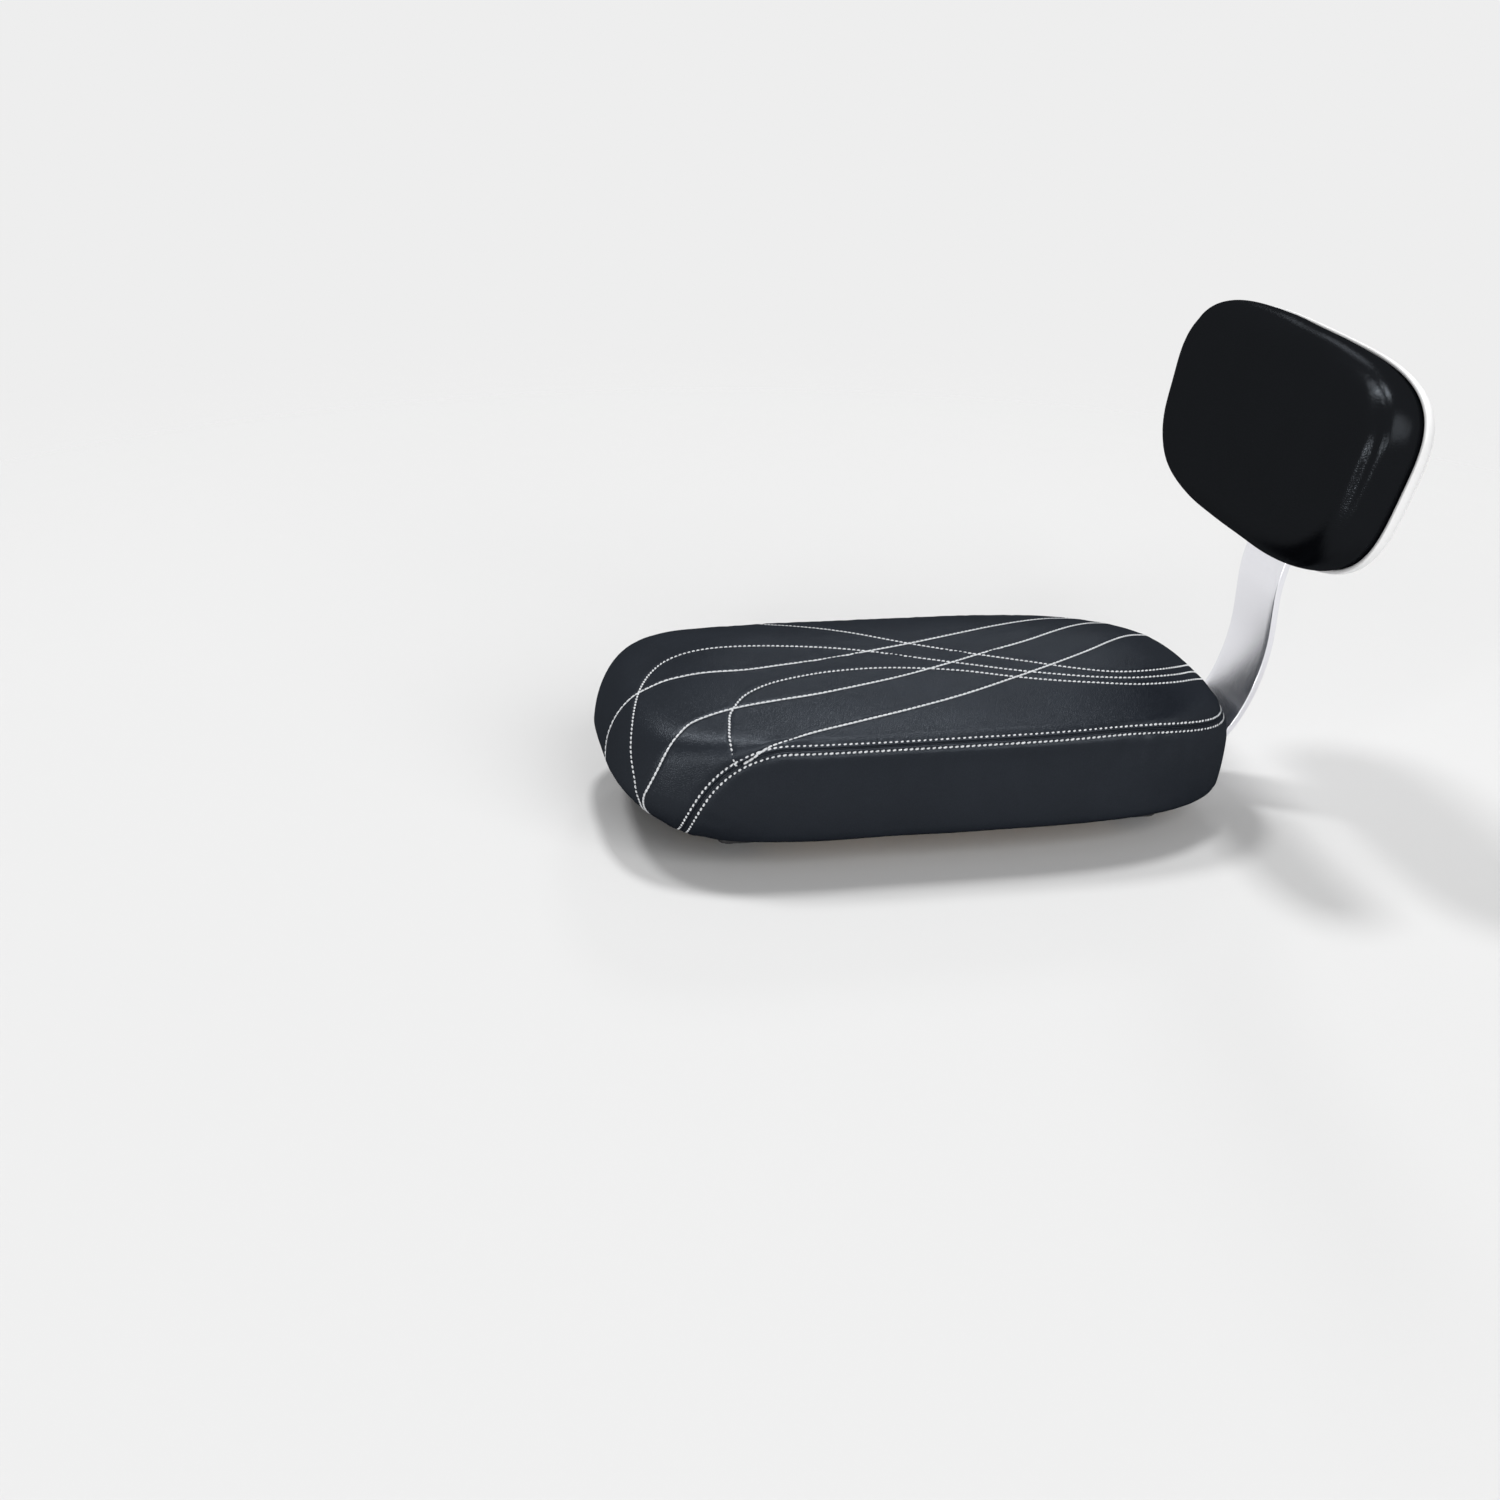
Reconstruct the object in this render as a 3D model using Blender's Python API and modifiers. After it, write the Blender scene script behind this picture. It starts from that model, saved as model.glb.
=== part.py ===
"""Passenger cushion with a backrest for the rear rack of a bicycle.

The frame is in metres with +Z up. The origin is the centre of the base board's underside,
+X points to the rear of the bicycle and the piece is symmetric about the plane Y = 0.
"""
import math

import bmesh
import bpy
from mathutils import Matrix, Vector

# Fits shared by every piece
FIT_GAP = 0.0003
COVER_GAP = 0.0006
COVER_THICKNESS = 0.0015
CUTTER_MARGIN = 0.010

# Seat cushion, outer form
CUSHION_LENGTH = 0.360
CUSHION_WIDTH = 0.180
EDGE_HEIGHT = 0.056
CROWN_RISE = 0.014
CROWN_RUN = 0.073
CROWN_POWER = 2.2
FRONT_SQUARENESS = 6.1
REAR_SQUARENESS = 3.7
SIDE_SQUARENESS = 3.17
BOTTOM_TUCK = 0.0020
FRONT_BOTTOM_TUCK = 0.0198
EDGE_TUCK = 0.0
FRONT_EDGE_TUCK = 0.0164
REAR_EDGE_TUCK = 0.0152
FRONT_TUCK_SPREAD = 4.2
REAR_TUCK_SPREAD = 3.4
CUSHION_AROUND = 44
CUSHION_SIDE_LEVELS = 5
CUSHION_CROWN_LEVELS = 5

# Seam between the top panel and the side band, and the hem under the board
SEAM_DROP = 0.001
SEAM_TURN_RADIUS = 0.050
SEAM_TURN_FROM_FRONT = 0.082
HEM_WIDTH = 0.020

# Base board
BOARD_THICKNESS = 0.012

# Bracket, a bent flat strip
STRIP_WIDTH = 0.048
STRIP_THICKNESS = 0.004
STRIP_END_RADIUS = 0.012
FOOT_LENGTH = 0.115
BEND_BEFORE_REAR = 0.0331
LOWER_BEND_RADIUS = 0.0468
LOWER_BEND_ANGLE = math.radians(60.0)
UPPER_BEND_RADIUS = 0.112
STRIP_UPRIGHT_LENGTH = 0.0162
LEAN_BEND_RADIUS = 0.090
RECLINE = math.radians(13.0)
BACKREST_UP_STRIP = 0.0718
STRIP_END_BELOW_PAD_TOP = 0.0185

# Backrest pad and shell, sizes in the plane of the backrest
PAD_WIDTH = 0.240
PAD_HEIGHT = 0.121
PAD_TAPER = 0.058
PAD_SQUARENESS = 3.57
PAD_AROUND = 36
PAD_SWELL_LENGTH = 0.0077
PAD_SIDE_LENGTH = 0.0069
PAD_FRONT_ROUND = 0.0146
PAD_FRONT_INSET = 0.0187
PAD_CROWN_RISE = 0.0016
PAD_CROWN_INSET = 0.050
PAD_HEM_WIDTH = 0.014
SHELL_INSET = 0.0
SHELL_WALL = 0.0025
SHELL_BACK_RADIUS = 0.007
SHELL_RIM = 0.0017
BACKREST_BOARD_THICKNESS = 0.006
BOSS_RADIUS = 0.008

# Rack clamps
RACK_SPACE = 0.010
CLAMP_LENGTH = 0.116
CLAMP_WIDTH = 0.025
CLAMP_THICKNESS = 0.003
CLAMP_CORNER_RADIUS = 0.006
FRONT_CLAMP_FROM_FRONT = 0.070
REAR_CLAMP_FROM_REAR = 0.060
CLAMP_BOLT_FROM_END = 0.020

# Fasteners
SHANK_RADIUS = 0.003
HOLE_CLEARANCE = 0.0003
WASHER_RADIUS = 0.0075
WASHER_THICKNESS = 0.0016
HEX_ACROSS_FLATS = 0.010
HEX_HEAD_HEIGHT = 0.004
NUT_FLANGE_RADIUS = 0.008
NUT_FLANGE_THICKNESS = 0.0015
NUT_BARREL_WALL = 0.0012
NUT_SETBACK = 0.0006
SCREW_END_COVER = 0.0012
COUNTERSINK_RADIUS = 0.006
COUNTERSINK_DEPTH = 0.003
BUTTON_RADIUS = 0.0052
BUTTON_HEIGHT = 0.0033
SOCKET_ACROSS_FLATS = 0.004
SOCKET_DEPTH = 0.002
FOOT_SCREW_FROM_END = 0.022
FOOT_SCREW_SPACING = 0.040
BACKREST_SCREW_FROM_END = 0.012
FASTENER_STEPS = 12

# Fineness of the curved forms
OUTLINE_SAMPLES = 1440
SEAM_TURN_STEPS = 12
LOWER_BEND_STEPS = 8
UPPER_BEND_STEPS = 6
LEAN_BEND_STEPS = 3
CORNER_STEPS = 4
SMOOTH_ANGLE = math.radians(35.0)

# Values that follow from the sizes above
HALF_LENGTH = CUSHION_LENGTH / 2
HALF_WIDTH = CUSHION_WIDTH / 2
SKIN_DEPTH = COVER_THICKNESS + COVER_GAP
SEAM_HEIGHT = EDGE_HEIGHT - SEAM_DROP
SEAM_TURN_X = -HALF_LENGTH + SEAM_TURN_FROM_FRONT
BEND_START_X = HALF_LENGTH - BEND_BEFORE_REAR
FOOT_START_X = BEND_START_X - FOOT_LENGTH
STRIP_LEAN_LENGTH = BACKREST_UP_STRIP + PAD_HEIGHT / 2 - STRIP_END_BELOW_PAD_TOP
SHELL_BACK = FIT_GAP
SHELL_DEPTH = SHELL_BACK + SHELL_BACK_RADIUS + SHELL_RIM
COVER_BACK = SHELL_BACK + SHELL_WALL + FIT_GAP
COVER_BACK_RADIUS = SHELL_BACK_RADIUS - SHELL_WALL - FIT_GAP
TUCKED_INSET = SHELL_INSET + SHELL_WALL + FIT_GAP
BACK_BOARD_LOW = COVER_BACK + SKIN_DEPTH
BACK_BOARD_HIGH = BACK_BOARD_LOW + BACKREST_BOARD_THICKNESS
BACK_BOARD_RADIUS = COVER_BACK_RADIUS - SKIN_DEPTH
PAD_FULL_START = SHELL_DEPTH + PAD_SWELL_LENGTH
PAD_FULL_END = PAD_FULL_START + PAD_SIDE_LENGTH
HOLE_RADIUS = SHANK_RADIUS + HOLE_CLEARANCE
NUT_BARREL_RADIUS = HOLE_RADIUS + NUT_BARREL_WALL
CHANNEL_DEPTH = STRIP_THICKNESS + FIT_GAP
HALF_SLOT = STRIP_WIDTH / 2 + FIT_GAP
NUT_TOP = BOARD_THICKNESS - FIT_GAP
BACK_NUT_TOP = BACK_BOARD_HIGH - FIT_GAP
FOOT_SCREW_X = [FOOT_START_X + FOOT_SCREW_FROM_END + step * FOOT_SCREW_SPACING for step in (0, 1)]
BACKREST_SCREW_SPACING = PAD_HEIGHT / 2 - STRIP_END_BELOW_PAD_TOP - BACKREST_SCREW_FROM_END
BACKREST_SCREW_UP = [step * BACKREST_SCREW_SPACING for step in (-1, 0, 1)]
CLAMP_X = {"front": -HALF_LENGTH + FRONT_CLAMP_FROM_FRONT, "rear": HALF_LENGTH - REAR_CLAMP_FROM_REAR}
CLAMP_BOLT_REACH = CLAMP_LENGTH / 2 - CLAMP_BOLT_FROM_END
CLAMP_BOLT_Y = (-CLAMP_BOLT_REACH, CLAMP_BOLT_REACH)
CLAMP_BOLT_PLACES = [(x, y) for x in CLAMP_X.values() for y in CLAMP_BOLT_Y]


def clear_scene():
    """Remove every object of the start-up scene."""
    for obj in list(bpy.data.objects):
        bpy.data.objects.remove(obj, do_unlink=True)


def new_collection(name):
    collection = bpy.data.collections.new(name)
    bpy.context.scene.collection.children.link(collection)
    return collection


clear_scene()
PARTS = new_collection("rack_seat_cushion")
CUTTERS = new_collection("cutters")


def material(name, colour, roughness, metallic=0.0):
    mat = bpy.data.materials.new(name)
    mat.use_nodes = True
    shader = mat.node_tree.nodes["Principled BSDF"]
    shader.inputs["Base Color"].default_value = (*colour, 1.0)
    shader.inputs["Roughness"].default_value = roughness
    shader.inputs["Metallic"].default_value = metallic
    mat.diffuse_color = (*colour, 1.0)
    return mat


LEATHERETTE = material("black_leatherette", (0.030, 0.034, 0.042), 0.45)
GLOSS_LEATHERETTE = material("gloss_black_leatherette", (0.010, 0.011, 0.014), 0.28)
FOAM = material("grey_foam", (0.35, 0.35, 0.33), 0.95)
PLYWOOD = material("plywood", (0.52, 0.36, 0.20), 0.70)
SATIN_CHROME = material("satin_chrome", (0.72, 0.72, 0.74), 0.26, 1.0)
WHITE_PLASTIC = material("white_plastic", (0.86, 0.86, 0.86), 0.30)
BLACK_STEEL = material("black_painted_steel", (0.025, 0.025, 0.027), 0.40, 0.2)
ZINC = material("zinc_plated_steel", (0.62, 0.62, 0.60), 0.35, 1.0)


def link_object(name, mesh, mat, parent=None):
    """Put a mesh in the scene as a named part, shaded smooth away from its edges."""
    mesh.shade_smooth()
    mesh.set_sharp_from_angle(angle=SMOOTH_ANGLE)
    obj = bpy.data.objects.new(name, mesh)
    mesh.materials.append(mat)
    PARTS.objects.link(obj)
    obj.parent = parent
    return obj


def mesh_from_bmesh(name, bm):
    """Turn a bmesh into a mesh with its faces pointing out."""
    bmesh.ops.recalc_face_normals(bm, faces=bm.faces[:])
    mesh = bpy.data.meshes.new(name)
    bm.to_mesh(mesh)
    bm.free()
    return mesh


def as_cutter(name, bm, parent=None):
    obj = bpy.data.objects.new(name, mesh_from_bmesh(name, bm))
    CUTTERS.objects.link(obj)
    obj.hide_render = True
    obj.display_type = "WIRE"
    obj.parent = parent
    return obj


def boolean(obj, cutter, operation="DIFFERENCE"):
    modifier = obj.modifiers.new(f"{operation.lower()}_{cutter.name}", "BOOLEAN")
    modifier.operation = operation
    modifier.object = cutter
    modifier.solver = "EXACT"


def solidify(obj, thickness, even=False):
    modifier = obj.modifiers.new("wall", "SOLIDIFY")
    modifier.thickness = thickness
    modifier.offset = -1.0
    modifier.use_even_offset = even


def box_bmesh(low, high):
    """A box between two corners."""
    bm = bmesh.new()
    bmesh.ops.create_cube(bm, size=1.0)
    low, high = Vector(low), Vector(high)
    size = high - low
    bmesh.ops.scale(bm, vec=size, verts=bm.verts)
    bmesh.ops.translate(bm, vec=(low + high) / 2, verts=bm.verts)
    return bm


def add_cylinder(bm, radius, low, high, centre=(0.0, 0.0), steps=FASTENER_STEPS, top_radius=None):
    """Add a capped cylinder or cone that stands on the XY plane's normal."""
    top_radius = radius if top_radius is None else top_radius
    middle = Matrix.Translation((centre[0], centre[1], (low + high) / 2))
    bmesh.ops.create_cone(
        bm, cap_ends=True, segments=steps, radius1=radius, radius2=top_radius,
        depth=high - low, matrix=middle)


def cylinder_bmesh(radius, low, high, centre=(0.0, 0.0), steps=FASTENER_STEPS, top_radius=None):
    bm = bmesh.new()
    add_cylinder(bm, radius, low, high, centre, steps, top_radius)
    return bm


def hexagon_radius(across_flats):
    return across_flats / 2 / math.cos(math.pi / 6)


def superellipse(half_x, half_y, count, power_x, power_y):
    """Points of a superellipse, evenly spaced along its length.

    power_x is a function of the sign of x, so front and rear may differ in squareness.
    """
    points = []
    for step in range(OUTLINE_SAMPLES + 1):
        angle = 2 * math.pi * step / OUTLINE_SAMPLES
        cosine, sine = math.cos(angle), math.sin(angle)
        x = math.copysign(abs(cosine) ** (2 / power_x(cosine)), cosine) * half_x
        y = math.copysign(abs(sine) ** (2 / power_y), sine) * half_y
        points.append(Vector((x, y)))
    lengths = [0.0]
    for start, end in zip(points, points[1:]):
        lengths.append(lengths[-1] + (end - start).length)
    even = []
    index = 0
    for step in range(count):
        target = lengths[-1] * step / count
        while lengths[index + 1] < target:
            index += 1
        share = (target - lengths[index]) / (lengths[index + 1] - lengths[index])
        even.append(points[index].lerp(points[index + 1], share))
    return even


def loft_bmesh(rings, cap_first, cap_last):
    """Skin a list of rings, each with the same number of points.

    Every quad is split along the same diagonal, so that nested skins never cross.
    """
    bm = bmesh.new()
    loops = [[bm.verts.new(point) for point in ring] for ring in rings]
    count = len(loops[0])
    for lower, upper in zip(loops, loops[1:]):
        for index in range(count):
            following = (index + 1) % count
            bm.faces.new((lower[index], lower[following], upper[following], upper[index]))
    bmesh.ops.triangulate(bm, faces=bm.faces[:], quad_method="FIXED")
    if cap_first:
        bm.faces.new(list(reversed(loops[0])))
    if cap_last:
        bm.faces.new(loops[-1])
    bm.normal_update()
    return bm


def shrink_and_slice(bm, depth, low, high):
    """Move a skin inward by a depth, keep it between two heights and close its cuts."""
    bm.normal_update()
    moves = [(vert, vert.normal.copy()) for vert in bm.verts]
    for vert, normal in moves:
        vert.co -= normal * depth
    for height, direction in ((low, -1.0), (high, 1.0)):
        if height is None:
            continue
        everything = bm.verts[:] + bm.edges[:] + bm.faces[:]
        bmesh.ops.bisect_plane(
            bm, geom=everything, plane_co=(0, 0, height), plane_no=(0, 0, direction),
            clear_outer=True, dist=1e-7)
    bmesh.ops.holes_fill(bm, edges=[edge for edge in bm.edges if edge.is_boundary])
    return bm


# Seat cushion form

BASE_OUTLINE = superellipse(
    HALF_LENGTH, HALF_WIDTH, CUSHION_AROUND,
    lambda x: FRONT_SQUARENESS if x < 0 else REAR_SQUARENESS, SIDE_SQUARENESS)


def cushion_ring(height, side, front=0.0, rear=0.0):
    """The cushion's outline at a height, tucked in at the sides, the front and the rear."""
    ring = []
    for point in BASE_OUTLINE:
        reach = abs(point.x) / HALF_LENGTH
        if point.x < 0:
            tuck = side + front * reach ** FRONT_TUCK_SPREAD
        else:
            tuck = side + rear * reach ** REAR_TUCK_SPREAD
        ring.append(Vector((
            point.x * (1 - tuck / HALF_LENGTH), point.y * (1 - tuck / HALF_WIDTH), height)))
    return ring


def cushion_rings():
    """Outer rings from the bottom edge over the bulging side to the crown."""
    rings = []
    middle = EDGE_HEIGHT / 2
    for step in range(CUSHION_SIDE_LEVELS + 1):
        height = EDGE_HEIGHT * step / CUSHION_SIDE_LEVELS
        below = max(0.0, (middle - height) / middle) ** 2
        above = max(0.0, (height - middle) / middle) ** 2
        rings.append(cushion_ring(
            height, BOTTOM_TUCK * below + EDGE_TUCK * above,
            FRONT_BOTTOM_TUCK * below + FRONT_EDGE_TUCK * above, REAR_EDGE_TUCK * above))
    for step in range(1, CUSHION_CROWN_LEVELS + 1):
        share = step / CUSHION_CROWN_LEVELS
        height = EDGE_HEIGHT + CROWN_RISE * (1 - (1 - share) ** CROWN_POWER)
        rings.append(cushion_ring(
            height, EDGE_TUCK + CROWN_RUN * share,
            FRONT_EDGE_TUCK * (1 - share), REAR_EDGE_TUCK * (1 - share)))
    return rings


def hem_ring(width):
    return cushion_ring(0.0, BOTTOM_TUCK + width, FRONT_BOTTOM_TUCK)


def seam_knife(name, setback):
    """Region of the top panel in side view: above the seam and in front of its turn."""
    radius = SEAM_TURN_RADIUS - setback
    centre_height = SEAM_HEIGHT - SEAM_TURN_RADIUS
    far = HALF_LENGTH + CUTTER_MARGIN
    outline = [(far, centre_height + radius)]
    for step in range(SEAM_TURN_STEPS + 1):
        angle = math.pi / 2 * (1 + step / SEAM_TURN_STEPS)
        outline.append((
            SEAM_TURN_X + radius * math.cos(angle), centre_height + radius * math.sin(angle)))
    top = EDGE_HEIGHT + CROWN_RISE + CUTTER_MARGIN
    bottom = min(0.0, centre_height) - CUTTER_MARGIN
    outline += [(SEAM_TURN_X - radius, bottom), (-far, bottom), (-far, top), (far, top)]
    return as_cutter(name, prism_bmesh(outline, HALF_WIDTH + CUTTER_MARGIN))


def prism_bmesh(outline, half_depth):
    """A closed outline in the XZ plane, pulled to both sides along Y."""
    bm = bmesh.new()
    face = bm.faces.new([bm.verts.new((x, -half_depth, z)) for x, z in outline])
    pulled = bmesh.ops.extrude_face_region(bm, geom=[face])
    moved = [item for item in pulled["geom"] if isinstance(item, bmesh.types.BMVert)]
    bmesh.ops.translate(bm, vec=(0, 2 * half_depth, 0), verts=moved)
    return bm


# Bracket path, along its upper and front face

def strip_path():
    """Points of the strip's front face in side view, as X and height."""
    heading = 0.0
    position = Vector((FOOT_START_X, STRIP_THICKNESS))
    path = [position.copy()]

    def straight(length):
        nonlocal position
        position = position + Vector((math.cos(heading), math.sin(heading))) * length
        path.append(position.copy())

    def arc(radius, angle, steps):
        nonlocal position, heading
        turn = angle / steps
        chord = 2 * radius * math.sin(abs(turn) / 2)
        for _ in range(steps):
            middle = heading + turn / 2
            position = position + Vector((math.cos(middle), math.sin(middle))) * chord
            heading += turn
            path.append(position.copy())

    straight(FOOT_LENGTH)
    arc(LOWER_BEND_RADIUS, LOWER_BEND_ANGLE, LOWER_BEND_STEPS)
    arc(UPPER_BEND_RADIUS, math.pi / 2 - LOWER_BEND_ANGLE, UPPER_BEND_STEPS)
    straight(STRIP_UPRIGHT_LENGTH)
    arc(LEAN_BEND_RADIUS, -RECLINE, LEAN_BEND_STEPS)
    straight(STRIP_LEAN_LENGTH)
    return path


STRIP_POINTS = strip_path()
LEAN_START = STRIP_POINTS[-2]


def strip_height_at(x):
    """Height of the strip's front face where it first passes a given X."""
    for start, end in zip(STRIP_POINTS, STRIP_POINTS[1:]):
        if start.x <= x <= end.x:
            return start.y + (end.y - start.y) * (x - start.x) / (end.x - start.x)
    return LEAN_START.y


EXIT_HEIGHT = strip_height_at(HALF_LENGTH) + 2 * FIT_GAP


def seat_slot():
    """Space for the strip where it rises through board, foam and cover at the rear."""
    low = (BEND_START_X - FIT_GAP, -HALF_SLOT, -CUTTER_MARGIN)
    high = (HALF_LENGTH + CUTTER_MARGIN, HALF_SLOT, EXIT_HEIGHT)
    return as_cutter("strip_slot", box_bmesh(low, high))


def make_cover():
    skin = [hem_ring(HEM_WIDTH)] + cushion_rings()
    pieces = (
        ("seat_top_panel", "INTERSECT", seam_knife("seam_knife_panel", 0.0)),
        ("seat_side_band", "DIFFERENCE", seam_knife("seam_knife_band", FIT_GAP)))
    slot = seat_slot()
    for name, operation, knife in pieces:
        bm = loft_bmesh(skin, False, True)
        obj = link_object(name, mesh_from_bmesh(name, bm), LEATHERETTE)
        solidify(obj, COVER_THICKNESS)
        boolean(obj, knife, operation)
        if operation == "DIFFERENCE":
            boolean(obj, slot)
    return slot


def make_seat_foam(slot):
    bm = loft_bmesh(cushion_rings(), False, True)
    shrink_and_slice(bm, SKIN_DEPTH, BOARD_THICKNESS + FIT_GAP, None)
    foam = link_object("seat_foam", mesh_from_bmesh("seat_foam", bm), FOAM)
    boolean(foam, slot)


def cut_nut_seat(board, name, centre, nut_top, parent=None):
    """Cut a board for a tee nut: its barrel's hole right through and its flange's recess."""
    top = nut_top + CUTTER_MARGIN
    recess = nut_top - NUT_FLANGE_THICKNESS - FIT_GAP
    barrel = cylinder_bmesh(NUT_BARREL_RADIUS + FIT_GAP, -CUTTER_MARGIN, top, centre)
    flange = cylinder_bmesh(NUT_FLANGE_RADIUS + FIT_GAP, recess, top, centre)
    boolean(board, as_cutter(f"{name}_barrel", barrel, parent))
    boolean(board, as_cutter(f"{name}_flange", flange, parent))


def make_base_board(slot):
    bm = loft_bmesh(cushion_rings(), False, True)
    shrink_and_slice(bm, SKIN_DEPTH, SKIN_DEPTH, BOARD_THICKNESS)
    board = link_object("seat_base_board", mesh_from_bmesh("seat_base_board", bm), PLYWOOD)
    inner = [Vector((point.x, point.y, 0.0)) for point in hem_ring(HEM_WIDTH + FIT_GAP)]
    plateau_top = BOARD_THICKNESS / 2
    plateau = loft_bmesh([inner, [point + Vector((0, 0, plateau_top)) for point in inner]], True, True)
    boolean(board, as_cutter("board_plateau", plateau), "UNION")
    channel = box_bmesh(
        (FOOT_START_X - FIT_GAP, -HALF_SLOT, -CUTTER_MARGIN),
        (BEND_START_X, HALF_SLOT, CHANNEL_DEPTH))
    boolean(board, as_cutter("foot_channel", channel))
    boolean(board, slot)
    for index, place in enumerate(CLAMP_BOLT_PLACES, start=1):
        cut_nut_seat(board, f"clamp_hole_{index}", place, NUT_TOP)
    for index, x in enumerate(FOOT_SCREW_X, start=1):
        cut_nut_seat(board, f"foot_hole_{index}", (x, 0.0), NUT_TOP)


# Turned and hexagonal fasteners, each modelled along its own +Z

def turned(name, profile, mat, parent=None):
    """A closed or open profile in the XZ plane turned about Z."""
    bm = bmesh.new()
    verts = [bm.verts.new((radius, 0.0, height)) for radius, height in profile]
    for start, end in zip(verts, verts[1:]):
        bm.edges.new((start, end))
    if profile[0][0] > 0:
        bm.edges.new((verts[-1], verts[0]))
    mesh = bpy.data.meshes.new(name)
    bm.to_mesh(mesh)
    bm.free()
    obj = link_object(name, mesh, mat, parent)
    screw = obj.modifiers.new("turn", "SCREW")
    screw.steps = FASTENER_STEPS
    screw.render_steps = FASTENER_STEPS
    screw.use_merge_vertices = True
    screw.merge_threshold = 0.00001
    screw.use_smooth_shade = True
    return obj


def tee_nut(name, depth, parent=None):
    """Tee nut with its flange's top at z = 0, its barrel ending inside the board's depth."""
    shoulder = -NUT_FLANGE_THICKNESS
    end = NUT_SETBACK - depth
    profile = [
        (HOLE_RADIUS, 0.0), (NUT_FLANGE_RADIUS, 0.0), (NUT_FLANGE_RADIUS, shoulder),
        (NUT_BARREL_RADIUS, shoulder), (NUT_BARREL_RADIUS, end), (HOLE_RADIUS, end)]
    return turned(name, profile, ZINC, parent)


def washer(name, parent=None):
    """Washer from z = 0 up."""
    profile = [
        (HOLE_RADIUS, WASHER_THICKNESS), (WASHER_RADIUS, WASHER_THICKNESS),
        (WASHER_RADIUS, 0.0), (HOLE_RADIUS, 0.0)]
    return turned(name, profile, ZINC, parent)


def hex_bolt(name, length):
    """Hex bolt with its head's bearing face at z = 0 and its shank above."""
    head = bmesh.new()
    add_cylinder(head, hexagon_radius(HEX_ACROSS_FLATS), -HEX_HEAD_HEIGHT, 0.0, steps=6)
    bolt = link_object(name, mesh_from_bmesh(name, head), ZINC)
    shank = cylinder_bmesh(SHANK_RADIUS, -HEX_HEAD_HEIGHT / 2, length)
    cutter = as_cutter(f"{name}_shank", shank, bolt)
    boolean(bolt, cutter, "UNION")
    return bolt


def socket_screw(name, profile, head_face, parent=None):
    """Turned screw, head down, with a hexagonal socket in the head's face."""
    screw = turned(name, profile, ZINC, parent)
    socket = cylinder_bmesh(
        hexagon_radius(SOCKET_ACROSS_FLATS), head_face - CUTTER_MARGIN,
        head_face + SOCKET_DEPTH, steps=6)
    boolean(screw, as_cutter(f"{name}_socket", socket, screw))
    return screw


def make_clamps():
    plate_top = -RACK_SPACE
    plate_bottom = plate_top - CLAMP_THICKNESS
    washer_top = plate_bottom - FIT_GAP
    head_face = washer_top - WASHER_THICKNESS - FIT_GAP
    for label, x in CLAMP_X.items():
        bm = box_bmesh(
            (x - CLAMP_WIDTH / 2, -CLAMP_LENGTH / 2, plate_bottom),
            (x + CLAMP_WIDTH / 2, CLAMP_LENGTH / 2, plate_top))
        upright = [edge for edge in bm.edges if edge.verts[0].co.z != edge.verts[1].co.z]
        bmesh.ops.bevel(
            bm, geom=upright, offset=CLAMP_CORNER_RADIUS, segments=CORNER_STEPS, profile=0.5,
            affect="EDGES")
        plate = link_object(f"{label}_clamp_plate", mesh_from_bmesh("clamp_plate", bm), BLACK_STEEL)
        for side, y in zip(("left", "right"), CLAMP_BOLT_Y):
            hole = cylinder_bmesh(
                HOLE_RADIUS, plate_bottom - CUTTER_MARGIN, plate_top + CUTTER_MARGIN, (x, y))
            boolean(plate, as_cutter(f"{label}_{side}_plate_hole", hole))
    length = NUT_TOP - SCREW_END_COVER - head_face
    for index, (x, y) in enumerate(CLAMP_BOLT_PLACES, start=1):
        bolt = hex_bolt(f"clamp_bolt_{index}", length)
        bolt.location = (x, y, head_face)
        ring = washer(f"clamp_washer_{index}")
        ring.location = (x, y, head_face + FIT_GAP)
        nut = tee_nut(f"clamp_nut_{index}", NUT_TOP)
        nut.location = (x, y, NUT_TOP)


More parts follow.
